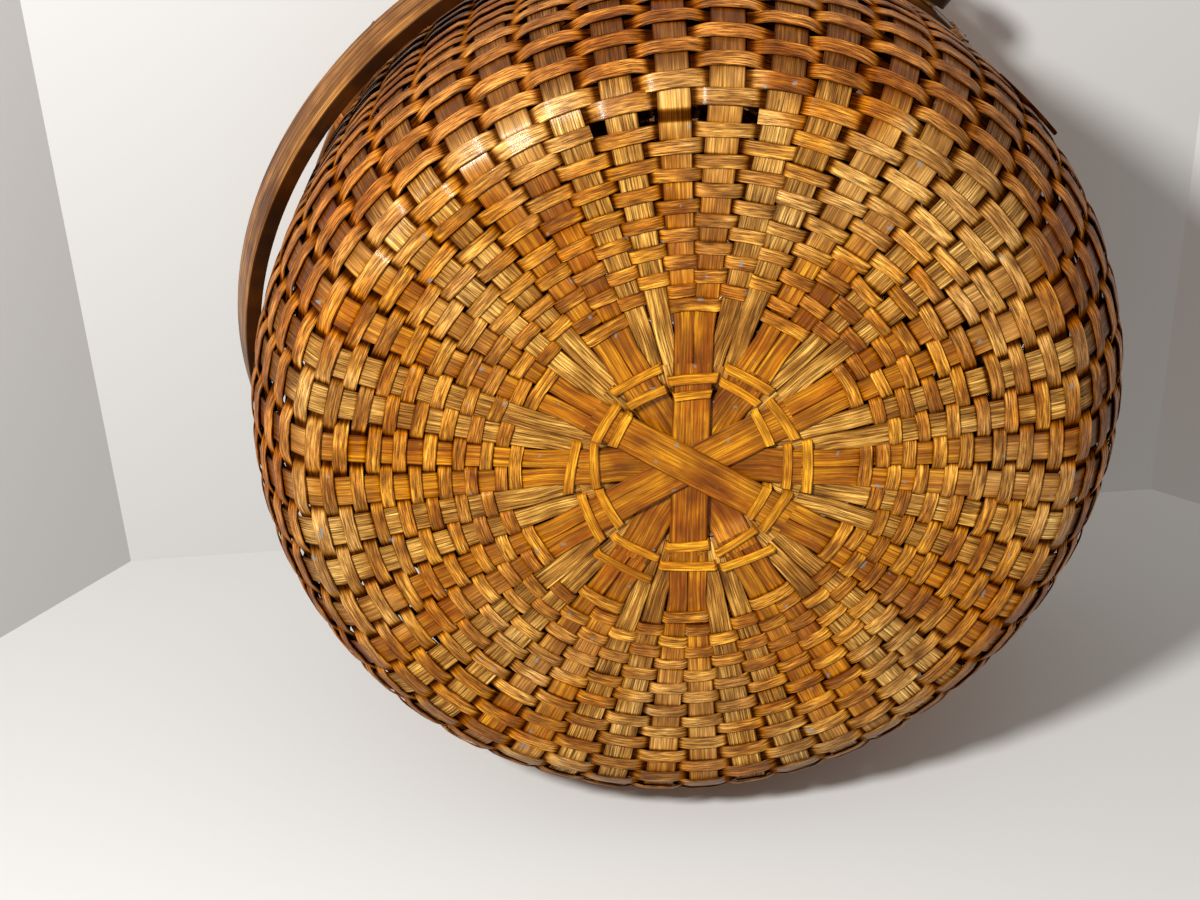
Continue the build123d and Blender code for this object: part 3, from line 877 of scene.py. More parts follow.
    def build(self) -> None:
        """Paint shade where the weave covers the wood, along the edges and on the underside, and give it its
        relief and its shine.
        """
        finish = self.finish
        colour = self._grained(self._wood())
        # painted shade: in the weave, along the edges and on the underside; lighter edges are worn arrises
        shades = (
            (self.buried, self.BURIED_RANGE),
            (self.edge, (*self.EDGE_RANGE, 1.0, finish.edge_level)),
            (self.side, (*self.LOW_SIDE_RANGE, 1.0, finish.low_side_level)),
        )
        for source, levels in shades:
            colour = self._varnished(colour, self.ramp(source, *levels))
        inputs = {"Strength": 1.0, "Distance": finish.fibre_depth, "Height": self.fibres}
        relief = self.add("ShaderNodeBump", inputs)
        rough = self.ramp(
            self.fibres, *self.ROUGH_RANGE, finish.roughness, finish.roughness + self.ROUGH_SPREAD
        )
        bare = self.ramp(self.buried, *self.BARE_RANGE)
        coat = self.math("MULTIPLY", self.ramp(self.edge, *self.EDGE_RANGE, finish.coat, 0.0), bare)
        shader = self.add("ShaderNodeBsdfPrincipled", {
            "Base Color": colour, "Normal": relief, "Coat Normal": relief, "Roughness": rough,
            "IOR": self.REFRACTION, "Coat IOR": self.REFRACTION, "Coat Weight": coat,
            "Coat Roughness": self.COAT_ROUGHNESS, "Specular Tint": srgb(self.GLEAM_TINT),
            "Specular IOR Level": self.math("MULTIPLY", bare, self.GLEAM),
        })
        self.node("ShaderNodeOutputMaterial", {"Surface": shader})


@dataclass(frozen=True)
class BrassFinish:
    """Cast and drawn brass, long tarnished: brown in the hollows, rubbed brighter on top.

    Args:
        name: the material's name.
        bright: colour of the rubbed metal.
        tarnish: colour of the tarnish.
        patch_size: size of the patches of tarnish.
    """

    PATCH_DETAIL = 6.0
    PATCH_RANGE = (0.38, 0.62)
    ROUGHNESS = (0.55, 0.28)  # of the tarnish and of rubbed metal
    RELIEF = (0.4, 0.05 * MM)  # strength and depth

    name: str = "tarnished brass"
    bright: str = "B08A4A"
    tarnish: str = "5A4426"
    patch_size: float = 5 * MM

    def material(self) -> bpy.types.Material:
        """Build the material.

        Returns:
            The material.
        """
        made = bpy.data.materials.new(self.name)
        made.use_nodes = True
        graph = Graph(made.node_tree)
        spot = graph.node("ShaderNodeTexCoord").outputs["Object"]
        patches = graph.noise(spot, 1 / self.patch_size, self.PATCH_DETAIL)
        share = graph.ramp(patches, *self.PATCH_RANGE, shape="LINEAR")
        strength, depth = self.RELIEF
        inputs = {"Strength": strength, "Distance": depth, "Height": patches}
        shader = graph.add("ShaderNodeBsdfPrincipled", {
            "Base Color": graph.mix("MIX", share, srgb(self.tarnish), srgb(self.bright)),
            "Metallic": 1.0, "Roughness": graph.ramp(share, 0.0, 1.0, *self.ROUGHNESS, shape="LINEAR"),
            "Normal": graph.add("ShaderNodeBump", inputs),
        })
        graph.node("ShaderNodeOutputMaterial", {"Surface": shader})
        return made


class Finishes:
    """Every finish of the creel, made once."""

    def __init__(self) -> None:
        """Build the materials."""
        # Smooth face of the split: shellac lies evenly, so it is amber and shines.
        self.smooth_splint = SplintFinish(
            "shellacked ash splint, smooth face", "C07C10", "8A4000", "3E1A00", "9A8068",
            fibre=0.55, fibre_depth=0.05 * MM, roughness=0.30, fibre_length=14 * MM,
            fibre_pitch=0.45 * MM, variety=0.32, coat=0.5, specks=0.6,
        ).material()
        # Rough face: torn fibres hold dirt, so it is streaked dark and duller.
        self.rough_splint = SplintFinish(
            "shellacked ash splint, rough face", "C48C38", "8A5214", "361A04", "9A8068",
            fibre=0.85, fibre_depth=0.14 * MM, roughness=0.44, fibre_length=12 * MM,
            fibre_pitch=0.45 * MM, variety=0.30,
        ).material()
        # Weavers of the base: pale splint, with light fibres brightened further as painted glints.
        self.base_weaver = SplintFinish(
            "shellacked ash weaver, pale", "CC8824", "8E4804", "3A1800", "C8A070",
            fibre=0.78, fibre_depth=0.12 * MM, roughness=0.34, fibre_length=6 * MM,
            fibre_pitch=0.38 * MM, ageing=0.6, variety=0.40, coat=0.5, specks=0.6,
        ).material()
        # Binding rows: thin and well varnished, so they are the brightest amber of all.
        self.binding = SplintFinish(
            "shellacked ash binding splint", "E09A20", "B06608", "5A2C00", "C8A070",
            fibre=0.6, fibre_depth=0.06 * MM, roughness=0.30, fibre_length=8 * MM,
            fibre_pitch=0.45 * MM, variety=0.30, coat=0.35,
        ).material()
        # Weavers of the side: the same stock, turned brown by light and smoke.
        self.side_weaver = SplintFinish(
            "shellacked ash weaver, browned", "D8963A", "8A4C0C", "281002", "DCB080",
            fibre=0.88, fibre_depth=0.13 * MM, roughness=0.42, fibre_length=6 * MM,
            fibre_pitch=0.40 * MM, ageing=0.7, variety=0.38, coat=0.15, worn="BC8640",
        ).material()
        self.lashing = SplintFinish(
            "shellacked ash lashing", "B8772C", "8A4E16", "3A1C0A", "C89870",
            fibre=0.7, roughness=0.38, ageing=0.5,
        ).material()
        # Hoops and bail: steam-bent ash with worn varnish.
        self.hoop = SplintFinish(
            "steam-bent ash hoop", "8C5826", "5E3410", "281206", "E0C0A0", worn="8C5C2C",
            fibre=0.6, roughness=0.42, fibre_pitch=0.9 * MM, fibre_length=30 * MM, ageing=0.3,
        ).material()
        # The bail's underside is painted darker as shade, and its lighter edges are worn arrises.
        self.bail = SplintFinish(
            "steam-bent ash bail", "966024", "603610", "241004", "E0C8A8", worn="94602A",
            fibre=0.6, roughness=0.40, fibre_pitch=0.7 * MM, fibre_length=30 * MM, ageing=0.3,
            low_side_level=0.12, edge_level=1.5,
        ).material()
        self.turned = SplintFinish(
            "turned maple", "8A5A2A", "5E3614", "34190A", "E0C0A0", worn="8A5A2A",
            fibre=0.3, roughness=0.36, ageing=0.3,
        ).material()
        self.brass = BrassFinish().material()


# --- The weave: rows and stakes share one schedule --------------------------------------------


def alternate(first: int) -> np.ndarray:
    """For each stake 1 or -1 in turn, with 1 where the stake's number and this one add up odd."""
    return np.where((np.arange(STAKES) + first) % 2 == 1, 1, -1)


@dataclass(frozen=True)
class Stock:
    """Weaver of one size, as it is worked into the weave.

    Args:
        half_width: half its width.
        half_thick: half its thickness.
        swing: how far its middle moves off the surface.
    """

    half_width: float
    half_thick: float
    swing: float


@dataclass
class Row:
    """One turn of weaver.

    Args:
        run: where it lies on the meridian.
        over: for each stake 1 where the row passes outside it, and -1 where it passes inside.
        stock: its weaver.
        group: the piece that it belongs to.
        ends: where it starts and stops, counted in stakes, if it doesn't go all round.
    """

    run: float
    over: np.ndarray
    stock: Stock
    group: str
    ends: tuple[float, float] | None = None


@dataclass(frozen=True)
class Parting:
    """A stretch where two rows have been pushed apart, so that the basket shows dark between.

    Args:
        run: where it lies on the meridian.
        start: angle where it begins, in degrees.
        end: angle where it ends, in degrees.
        opening: how far each row beside it moves away.
        reach: distance at which a row isn't moved any more.
        softness: how many degrees it takes to open.
    """

    run: float
    start: float
    end: float
    opening: float
    reach: float = 11 * MM
    softness: float = 7.0

    def shift(self, run: float, angle: np.ndarray) -> np.ndarray:
        """How far a row at a running length moves, at each angle.

        Args:
            run: where the row lies on the meridian.
            angle: angles along the row.

        Returns:
            The shift at each angle.
        """
        away = (np.degrees(angle) - (self.start + self.end) / 2 + 180) % 360 - 180
        half = abs(self.end - self.start) / 2
        inside = ease((half - np.abs(away)) / self.softness + 0.5)
        fade = max(0.0, 1 - abs(run - self.run) / self.reach)
        return self.opening * inside * fade * math.copysign(1.0, run - self.run)


class Weave:
    """Stakes and rows that pass in front of and behind each other on one meridian."""

    STEPS = 10  # points of a row from one stake to the next
    CLEARANCE = 0.04 * MM  # between a row and the stake that it passes
    JITTER = 0.35  # how unevenly the stakes stand, in degrees
    LEAN = 1.6  # how much more they lean
    UPRIGHT = 0.35  # share of the meridian where a leaning stake is in its place
    BEND = (0.85, 1.15)  # how far a row swings round a stake, against its usual swing
    ENTRY = 4 * MM  # stretch before the first row in which a stake leaves the surface
    STRAIGHT = 0.80  # share of a stake's width over which a row runs straight
    CROSSING = (0.13, 0.5)  # least and greatest half share of the pitch in which it changes sides
    ROW_WIDTH = (0.94, 1.05)  # how unevenly rows were split
    ROW_BURIED = (1.15, 0.15)  # how steeply and how late a row takes painted shade as it goes in behind a stake
    ROW_START = 2.0  # longest shift of a row's grain, in metres
    DRIFT = ((1, 0.25 * MM), (3, 0.2 * MM), (7, 0.18 * MM), (17, 0.14 * MM))  # waves and their size
    STAKE_STEP = 1.15 * MM
    ROW_REACH, ROW_SHADE = 2.6 * MM, 0.35  # how far from a row passing over it a stake takes painted shade
    FREE = 3 * MM  # distance before the first row beyond which a stake takes no painted shade

    def __init__(
        self, meridian: Meridian, rows: Sequence[Row], stake_width: Curve, seed: int,
        stake_thick: float = 0.33 * MM, partings: Sequence[Parting] = (),
    ) -> None:
        """Fix where each stake stands and leans.

        Args:
            meridian: the surface's section.
            rows: the rows, from the middle outwards.
            stake_width: width of a stake at a running length.
            seed: picks the unevenness.
            stake_thick: half the thickness of a stake.
            partings: where rows have been pushed apart.
        """
        self.meridian, self.rows, self.stake_width = meridian, list(rows), stake_width
        self.stake_thick, self.partings = stake_thick, partings
        self.centres = np.array([row.run for row in self.rows])
        self.chance = np.random.default_rng(seed)
        self.stakes = FIRST_STAKE - np.arange(STAKES) * STAKE_PITCH
        self.off = np.radians(self.chance.normal(0, self.JITTER, STAKES))
        self.lean = np.radians(self.chance.normal(0, self.LEAN * self.JITTER, STAKES))
        self.bend = self.chance.uniform(*self.BEND, (len(self.rows), STAKES))

    def stake_angle(self, stake: int, run: np.ndarray | float) -> np.ndarray:
        """Angle at which a stake stands at a running length."""
        share = np.asarray(run) / self.meridian.length
        return self.stakes[stake] + self.off[stake] + self.lean[stake] * (share - self.UPRIGHT)

    def stake_offset(self, stake: int, run: np.ndarray) -> np.ndarray:
        """How far a stake is pressed off the surface by the rows that pass it.

        Args:
            stake: its number.
            run: running lengths.

        Returns:
            The offset at each running length.
        """
        centres = self.centres
        pressed = np.array([
            -row.over[stake]
            * max(row.stock.half_thick + self.stake_thick + self.CLEARANCE - row.stock.swing, 0)
            for row in self.rows
        ])
        index = np.clip(np.searchsorted(centres, run) - 1, 0, len(centres) - 2)
        share = (run - centres[index]) / (centres[index + 1] - centres[index])
        eased = ease(share)
        offset = pressed[index] * (1 - eased) + pressed[index + 1] * eased
        return np.where(run < centres[0], pressed[0] * ease(1 + (run - centres[0]) / self.ENTRY), offset)

    def row_strand(self, number: int) -> Strand:
        """The weaver of one row, from one end of its turn to the other.

        Args:
            number: which row.

        Returns:
            The weaver as a strand.
        """
        row, stock = self.rows[number], self.rows[number].stock
        begin = float(self.chance.choice(np.flatnonzero(row.over < 0)))
        begin, finish = row.ends or (begin, begin + STAKES)
        hops = np.linspace(begin, finish, int(round((finish - begin) * self.STEPS)) + 1)
        low = np.floor(hops).astype(int)
        share = hops - low

        def angles(stakes: np.ndarray) -> np.ndarray:
            """Angles of stakes whose numbers are counted on past a whole turn."""
            return np.array([
                self.stake_angle(i % STAKES, row.run) - 2 * math.pi * (i // STAKES) for i in stakes
            ])

        here = angles(low)
        angle = here + (angles(low + 1) - here) * share
        pitch = self.meridian.radius_at(row.run) * STAKE_PITCH
        straight = self.STRAIGHT * self.stake_width(row.run) / pitch
        eased = ease((share - 0.5) / (2 * np.clip(0.5 * (1 - straight), *self.CROSSING)) + 0.5)
        swings = row.over * self.bend[number]
        offset = stock.swing * (swings[low % STAKES] * (1 - eased) + swings[(low + 1) % STAKES] * eased)
        run = row.run + self._drift(len(hops))
        for parting in self.partings:
            run = run + parting.shift(row.run, angle)
        steep, late = self.ROW_BURIED
        return laid_strand(
            self.meridian, run, angle, offset,
            half_width=stock.half_width * self.chance.uniform(*self.ROW_WIDTH),
            half_thick=stock.half_thick,
            tone=float(self.chance.uniform(0, 1)),
            # painted shade where the row goes in behind a stake
            buried=ease(np.clip(0.5 - offset / (2 * stock.swing), 0, 1) * steep - late),
            start=float(self.chance.uniform(0, self.ROW_START)),
        )

    def _drift(self, count: int) -> np.ndarray:
        """How far a row wanders along the meridian as it goes round.

        Args:
            count: number of points in the row.

        Returns:
            The drift at each point.
        """
        waves = np.zeros(count)
        around = np.linspace(0, 2 * math.pi, count)
        for wave, size in self.DRIFT:
            waves += size * np.sin(wave * around + self.chance.uniform(0, 2 * math.pi))
        return waves - waves[0]

    def stake_strand(
        self, stake: int, start: float, end: float, half_width: Curve, angle_of: Curve,
        rest_offset: Curve, tone: float, lane: float, thick: Curve | None = None,
    ) -> Strand:
        """A stake as a strand.

        Args:
            stake: its number.
            start: running length where it begins.
            end: running length where it ends.
            half_width: half its width at a running length.
            angle_of: its angle at a running length.
            rest_offset: how far it lies off the surface apart from the rows, at a running length.
            tone: how dark it is.
            lane: how far it lies from the middle of the strip that it was split from.
            thick: half its thickness at a running length, if it isn't the usual one.

        Returns:
            The stake.
        """
        centres = self.centres
        run = np.append(np.arange(start, end, self.STAKE_STEP), end)
        angle = angle_of(run)
        offset = self.stake_offset(stake, run) + rest_offset(run)
        over = np.array([row.over[stake] for row in self.rows])
        nearest = np.clip(np.searchsorted((centres[1:] + centres[:-1]) / 2, run), 0, len(centres) - 1)
        beside = np.abs(run - centres[nearest]) / self.ROW_REACH
        # painted shade on a stake beside a row that passes over it
        covered = np.where(over[nearest] > 0, 1 - ease(beside - self.ROW_SHADE), 0.0)
        return Strand(
            centre=self.meridian.place(run, angle, offset),
            across=tangential(angle),
            facing=self.meridian.outward(run, angle),
            half_width=half_width(run),
            half_thick=self.stake_thick if thick is None else thick(run),
            tone=tone, buried=np.where(run < centres[0] - self.FREE, 0.0, covered), lane=lane, start=start,
        )


class StripKind(Enum):
    """The two faces that a base strip can turn outwards."""

    SMOOTH = "smooth"
    ROUGH = "rough"


STRIP_ANGLES = {  # of each strip in degrees, the outermost first
    StripKind.SMOOTH: (82.5, 22.5, 142.5, 52.5, 172.5, 112.5),
    StripKind.ROUGH: (7.5, 97.5, 37.5, 127.5, 67.5, 157.5),
}


@dataclass
class BodyWeave:
    """Base, side and stakes of the basket.

    Args:
        form: the body's sizes.
        base_rows: number of rows of the base's weaver.
        first_row: radius of the first row.
        row_pitch: distance from one row of the base to the next.
        edge_runs: where the two rows at the edge of the base lie on the meridian.
        side_start: where the first row of the side lies on the meridian.
        side_end: how far from the end of the meridian the side's rows stop.
        side_pitch: distance from one row of the side to the next.
        side_limits: heights at which one length of side weaver ends and the next starts.
        strip_half_width: half the width of a strip.
        fork_radius: distance from the middle at which its split halves have their own width.
        stake_top: height at which the stakes end.
        missing: where the last row of the base starts and stops, because a stretch has worn away.
        partings: where rows of the base have been pushed apart.
        sprung_height: height of the end of a side weaver that has sprung off.
        sprung_angles: angles where this end leaves the side and where it is cut.
        sprung_lift: how much further its tip stands off.
        hub_level: height of the outermost strip where all strips cross.
        hub_step: how much higher each next smooth strip lies there.
        rough_step: the same for the rough strips.
        hub_thick: half the thickness of the strips there.
        hub_ramp: distances from the middle between which the strips come into the weave.
    """

    STRIP_SECTION = Section(8, 0.12, 0.5, 0.04)
    ROW_SECTION = Section(8, 0.24, 0.42, 0.16)
    BINDING_SECTION = Section(8, 0.16, 0.5, 0.12, seed=4)
    BASE_STOCK = Stock(2.20 * MM, 0.36 * MM, 0.68 * MM)
    EDGE_STOCK = Stock(2.74 * MM, 0.36 * MM, 0.85 * MM)
    SIDE_STOCK = Stock(2.70 * MM, 0.30 * MM, 1.05 * MM)
    RIM_CALM = (132 * MM, 12 * MM, 0.35 * MM)  # height, stretch and loss of swing
    SIDE_GROUPS = (
        "bottom_side_weave", "lower_side_weave", "middle_side_weave", "upper_side_weave",
    )
    SPRUNG_GROUP = "middle_side_weave"
    WIDTH_RUNS = (56 * MM, 82 * MM, 118 * MM)
    STAKE_WIDTHS = (6.2 * MM, 7.0 * MM, 8.8 * MM, 10.2 * MM, 10.6 * MM)
    BESIDE = {StripKind.SMOOTH: 0.28 * MM, StripKind.ROUGH: -0.48 * MM}
    HOME = (44 * MM, 9 * MM)  # start and stretch in which a strip comes to its usual level
    STRIP_SEEDS = {StripKind.SMOOTH: 200, StripKind.ROUGH: 250}
    STRIP_TONES = (0.1, 0.7)
    SPLITS = (33, 38)  # distances of the splits from the middle, in mm
    STRIP_STEP = 1.2 * MM
    SCRAPED = 10 * MM  # stretch in which a strip gets its full thickness
    PRONG_LAP = 5 * MM  # how far a prong reaches back under the unsplit strip
    PRONG_GAP = 0.06 * MM  # half the gap between two prongs
    PRONG_LEAN = (40 * MM, 12 * MM)  # start and stretch in which two prongs lean apart
    PRONG_WIDTHS = (0.94, 1.03)  # how unevenly they were split
    PRONG_TONES = (-0.08, 0.08)
    SPRUNG_FOOT = 1.1 * MM  # how far the sprung end lies off where it leaves the side
    WEAVE_SEED = 11
    NEAR_STRIP = 5  # degrees; the two halves of a strip stand 3.75 to its left and right
    MIDDLE_THICKER = 0.02 * MM  # by how much an unsplit strip is thicker than its prongs, in half
    SPRUNG_POINTS = 16
    SPRUNG_CURL = 1.5  # power with which the sprung end lifts
    SPRUNG_HALF_WIDTH = 2.6 * MM
    SPRUNG_HALF_THICK = 0.75 * MM
    # painted shade on the sprung end, which lies in shadow
    SPRUNG_BURIED = 0.7
    BINDING_SEED = 70
    BINDING_SPAN = 0.56  # half the length of one strand, in spans between strips
    BINDING_SLANT = 0.14
    BINDING_OUT = 0.34 * MM  # how far it passes outside a smooth strip
    BINDING_IN = 0.5 * MM  # how far it passes inside a rough one
    BINDING_REACH = (0.83, 0.90)  # share of a span that it lies outside
    BINDING_DIVE = 0.12  # share of a span in which it goes inside
    BINDING_WIDTHS = (1.45, 1.75)  # half its width, in mm
    BINDING_HALF_THICK = 0.24 * MM
    BINDING_TONES = (0.0, 0.3)
    BINDING_POINTS = 49
    BINDING_BOW = (0.35, 0.65)  # shares of a circle and of a straight line in its course
    BINDING_SHADE = (1.2, 0.1)  # how steeply and how late it darkens as it goes inside
    BINDING_RADII = (  # distance of each row from the middle at the smooth strips' ends, in mm
        (30.3, 25.6, 29.4, 24.8, 28.4, 26.2, 30.2, 29.0, 33.0, 28.4, 31.0, 25.5),
        (36.7, 32.4, 34.5, 30.6, 35.4, 31.3, 37.4, 35.7, 41.0, 35.5, 38.4, 32.0),
    )

    form: BodyForm
    base_rows: int = 14
    first_row: float = 55.0 * MM
    row_pitch: float = 4.5 * MM
    edge_runs: tuple[float, float] = (118.6 * MM, 123.9 * MM)
    side_start: float = 129.3 * MM
    side_end: float = 1.5 * MM
    side_pitch: float = 5.45 * MM
    side_limits: tuple[float, float, float] = (25 * MM, 50 * MM, 100 * MM)
    strip_half_width: float = 6.0 * MM
    fork_radius: float = 46.0 * MM
    stake_top: float = 148.5 * MM
    missing: tuple[float, float] = (13.62, 58.40)
    partings: tuple[Parting, ...] = (
        Parting(79.9 * MM, 182.0, 218.0, 1.25 * MM),
        Parting(93.3 * MM, 198.0, 217.0, 1.15 * MM),
    )
    sprung_height: float = 58 * MM
    sprung_angles: tuple[float, float] = (math.radians(184.5), math.radians(194.6))
    sprung_lift: float = 1.5 * MM
    hub_level: float = 1.25 * MM
    hub_step: float = 0.58 * MM
    rough_step: float = 0.45 * MM
    hub_thick: float = 0.26 * MM
    hub_ramp: tuple[float, float] = (22 * MM, 31 * MM)
    weave: Weave = field(init=False)

    def __post_init__(self) -> None:
        """Draw up the schedule of rows."""
        rows = self._base() + self._side()
        self.weave = Weave(
            self.form.meridian, rows, self.stake_width, seed=self.WEAVE_SEED, partings=self.partings
        )

    def _base(self) -> list[Row]:
        """The rows of the base, of which the last two are the wider ones at its edge.

        Returns:
            The rows, from the middle outwards.
        """
        rows = []
        for number in range(self.base_rows):
            run = self.first_row + number * self.row_pitch
            rows.append(Row(run, alternate(number), self.BASE_STOCK, "base_weave"))
        smooth = [self.strip_of(stake)[0] is StripKind.SMOOTH for stake in range(STAKES)]
        rows[0].over = np.where(smooth, 1, -1)
        rows[-1].ends = self.missing
        for turn, run in enumerate(self.edge_runs):
            over = alternate(self.base_rows + turn)
            rows.append(Row(run, over, self.EDGE_STOCK, f"base_edge_row_{turn + 1}"))
        return rows

    def _side(self) -> list[Row]:
        """The rows of the side up to the rim, where they swing less.

        Returns:
            The rows, from the base upwards.
        """
        start, stretch, loss = self.RIM_CALM
        rows = []
        runs = np.arange(self.side_start, self.form.meridian.length - self.side_end, self.side_pitch)
        for turn, run in enumerate(runs):
            over = alternate(self.base_rows + len(self.edge_runs) + turn)
            height = self.form.meridian.height_at(run)
            group = self.SIDE_GROUPS[int(np.searchsorted(self.side_limits, height))]
            swing = self.SIDE_STOCK.swing - loss * float(ease((height - start) / stretch))
            rows.append(Row(float(run), over, replace(self.SIDE_STOCK, swing=swing), group))
        return rows

    def stake_width(self, run: np.ndarray | float) -> np.ndarray:
        """Width of a stake at a running length."""
        runs = (self.fork_radius, *self.WIDTH_RUNS, self.form.meridian.length)
        return np.interp(run, runs, self.STAKE_WIDTHS)

    def strip_of(self, stake: int) -> tuple[StripKind, int, int, int]:
        """Which strip a stake was split from.

        Args:
            stake: the stake's number.

        Returns:
            The kind of strip, its number in that kind, which end of it (1 or -1) and which half.
        """
        angle = math.degrees(FIRST_STAKE - stake * STAKE_PITCH) % 360
        for kind, angles in STRIP_ANGLES.items():
            for number, strip_angle in enumerate(angles):
                for end in (1, -1):
                    away = (angle - strip_angle - (0 if end > 0 else 180) + 180) % 360 - 180
                    if abs(away) < self.NEAR_STRIP:
                        return kind, number, end, 1 if away > 0 else -1
        raise ValueError(f"stake {stake} belongs to no strip")

    def hub_offset(self, kind: StripKind, number: int, radius: np.ndarray) -> np.ndarray:
        """How far a strip lies off the middle of the weave inside the first rows.

        Args:
            kind: the strip's kind.
            number: its number in that kind.
            radius: distances from the middle of the base.

        Returns:
            The offset at each distance, downwards.
        """
        level = self.hub_level + number * self.hub_step
        if kind is StripKind.ROUGH:
            level = self.hub_level + len(STRIP_ANGLES[StripKind.SMOOTH]) * self.hub_step
            level += number * self.rough_step
        low, high = self.hub_ramp
        start, stretch = self.HOME
        down = ease((radius - low) / (high - low))
        home = ease((radius - start) / stretch)
        return ((self.form.base_level - level) * (1 - down) + self.BESIDE[kind] * down) * (1 - home)

    def strip_pieces(self, sweep: SweepTree, finishes: Finishes) -> None:
        """Build each strip with its split ends as one piece.

        Args:
            sweep: the tree that gives strands their section.
            finishes: the materials.
        """
        materials = {StripKind.SMOOTH: finishes.smooth_splint, StripKind.ROUGH: finishes.rough_splint}
        for kind, angles in STRIP_ANGLES.items():
            for number, angle in enumerate(angles):
                strands = self._strip_strands(kind, number, math.radians(angle))
                sweep.piece(
                    f"{kind.value}_strip_{number + 1}", "splint", strands,
                    replace(self.STRIP_SECTION, seed=number), materials[kind], "root",
                    f"{kind.value}_splint",
                )

    def _strip_strands(self, kind: StripKind, number: int, angle: float) -> list[Strand]:
        """The unsplit middle of a strip and its four prongs.

        Args:
            kind: the strip's kind.
            number: its number in that kind.
            angle: the way that it runs.

        Returns:
            The middle and the prongs.
        """
        chance = np.random.default_rng(self.STRIP_SEEDS[kind] + number)
        tone = float(chance.uniform(*self.STRIP_TONES))
        split = float(chance.uniform(*self.SPLITS)) * MM
        radius = np.arange(-split, split + 0.5 * MM, self.STRIP_STEP)
        level = self.form.base_level - self.hub_offset(kind, number, np.abs(radius))
        count = (len(radius), 1)
        middle = Strand(
            centre=np.stack([radius * math.cos(angle), radius * math.sin(angle), level], axis=1),
            across=np.tile([-math.sin(angle), math.cos(angle), 0.0], count),
            facing=np.tile([0.0, 0.0, -1.0], count),
            half_width=self.strip_half_width,
            half_thick=self._thickness(np.abs(radius)) + self.MIDDLE_THICKER,
            tone=tone, start=float(radius[0]),
        )
        return [middle] + [
            self._prong(stake, split, tone, chance)
            for stake in range(STAKES) if self.strip_of(stake)[:2] == (kind, number)
        ]

    def _thickness(self, radius: np.ndarray) -> np.ndarray:
        """Half the thickness of a strip, scraped thin where all of them cross."""
        full, start = self.weave.stake_thick, self.hub_ramp[0]
        return self.hub_thick + (full - self.hub_thick) * ease((radius - start) / self.SCRAPED)

    def _prong(self, stake: int, split: float, tone: float, chance: np.random.Generator) -> Strand:
        """One half of a strip's split end, from the split to the rim.

        Args:
            stake: the stake that it becomes.
            split: distance from the middle at which the strip is split.
            tone: how dark the strip is.
            chance: where the unevenness comes from.

        Returns:
            The prong.
        """
        kind, number, end, half = self.strip_of(stake)
        axis = math.radians(STRIP_ANGLES[kind][number]) + (0 if end > 0 else math.pi)
        beside = self.strip_half_width / 2 + self.PRONG_GAP

        def angle_of(run: np.ndarray) -> np.ndarray:
            """The prong runs beside its twin, then leans away to its own place."""
            radial = self.weave.stake_angle(stake, run)
            away = (radial - axis + math.pi) % (2 * math.pi) - math.pi
            close = half * np.arcsin(np.clip(beside / np.maximum(run, beside), 0, 1))
            start, stretch = self.PRONG_LEAN
            share = ease((run - start) / stretch)
            return axis + close * (1 - share) + away * share

        def half_width(run: np.ndarray) -> np.ndarray:
            """Half the prong's width."""
            wide = self.stake_width(run) / 2 * scale
            return np.where(run < self.fork_radius, self.strip_half_width / 2, wide)

        scale = float(chance.uniform(*self.PRONG_WIDTHS))
        top = self.form.meridian.run_at_height(self.stake_top)
        return self.weave.stake_strand(
            stake, split - self.PRONG_LAP, top, half_width, angle_of,
            lambda run: self.hub_offset(kind, number, run),
            tone + float(chance.uniform(*self.PRONG_TONES)), half * beside, self._thickness,
        )

    def row_pieces(self, sweep: SweepTree, finishes: Finishes) -> None:
        """Build the rows, one piece for each length of weaver.

        Args:
            sweep: the tree that gives strands their section.
            finishes: the materials.
        """
        strands = {group: [] for group in sorted({row.group for row in self.weave.rows})}
        for number, row in enumerate(self.weave.rows):
            strands[row.group].append(self.weave.row_strand(number))
        strands[self.SPRUNG_GROUP].append(self._sprung_end())
        materials = {"base_weaver": finishes.base_weaver, "side_weaver": finishes.side_weaver}
        for group, lengths in strands.items():
            slot = "base_weaver" if group.startswith("base") else "side_weaver"
            section = replace(self.ROW_SECTION, seed=len(group))
            sweep.piece(group, "splint", lengths, section, materials[slot], "root", slot)

    def _sprung_end(self) -> Strand:
        """The cut end of one length of weaver, which has sprung off the side.

        Returns:
            The end as a strand of its own.
        """
        share = np.linspace(0, 1, self.SPRUNG_POINTS)
        start, end = self.sprung_angles
        meridian = self.form.meridian
        run = np.full_like(share, meridian.run_at_height(self.sprung_height))
        return laid_strand(
            meridian, run, start + (end - start) * share,
            self.SPRUNG_FOOT + self.sprung_lift * share**self.SPRUNG_CURL,
            half_width=self.SPRUNG_HALF_WIDTH, half_thick=self.SPRUNG_HALF_THICK,
            # darkest tone and painted shade, for the shadow that the sprung end lies in
            tone=1.0, buried=self.SPRUNG_BURIED,
        )

    def binding_pieces(self, sweep: SweepTree, finishes: Finishes) -> None:
        """Build the two loose rows that bind the crossing strips.

        Args:
            sweep: the tree that gives strands their section.
            finishes: the materials.
        """
        for turn, radii in enumerate(self.BINDING_RADII):
            sweep.piece(
                f"hub_binding_row_{turn + 1}", "splint", self._binding_strands(np.array(radii) * MM, turn),
                self.BINDING_SECTION, finishes.binding, "root", "base_weaver",
            )

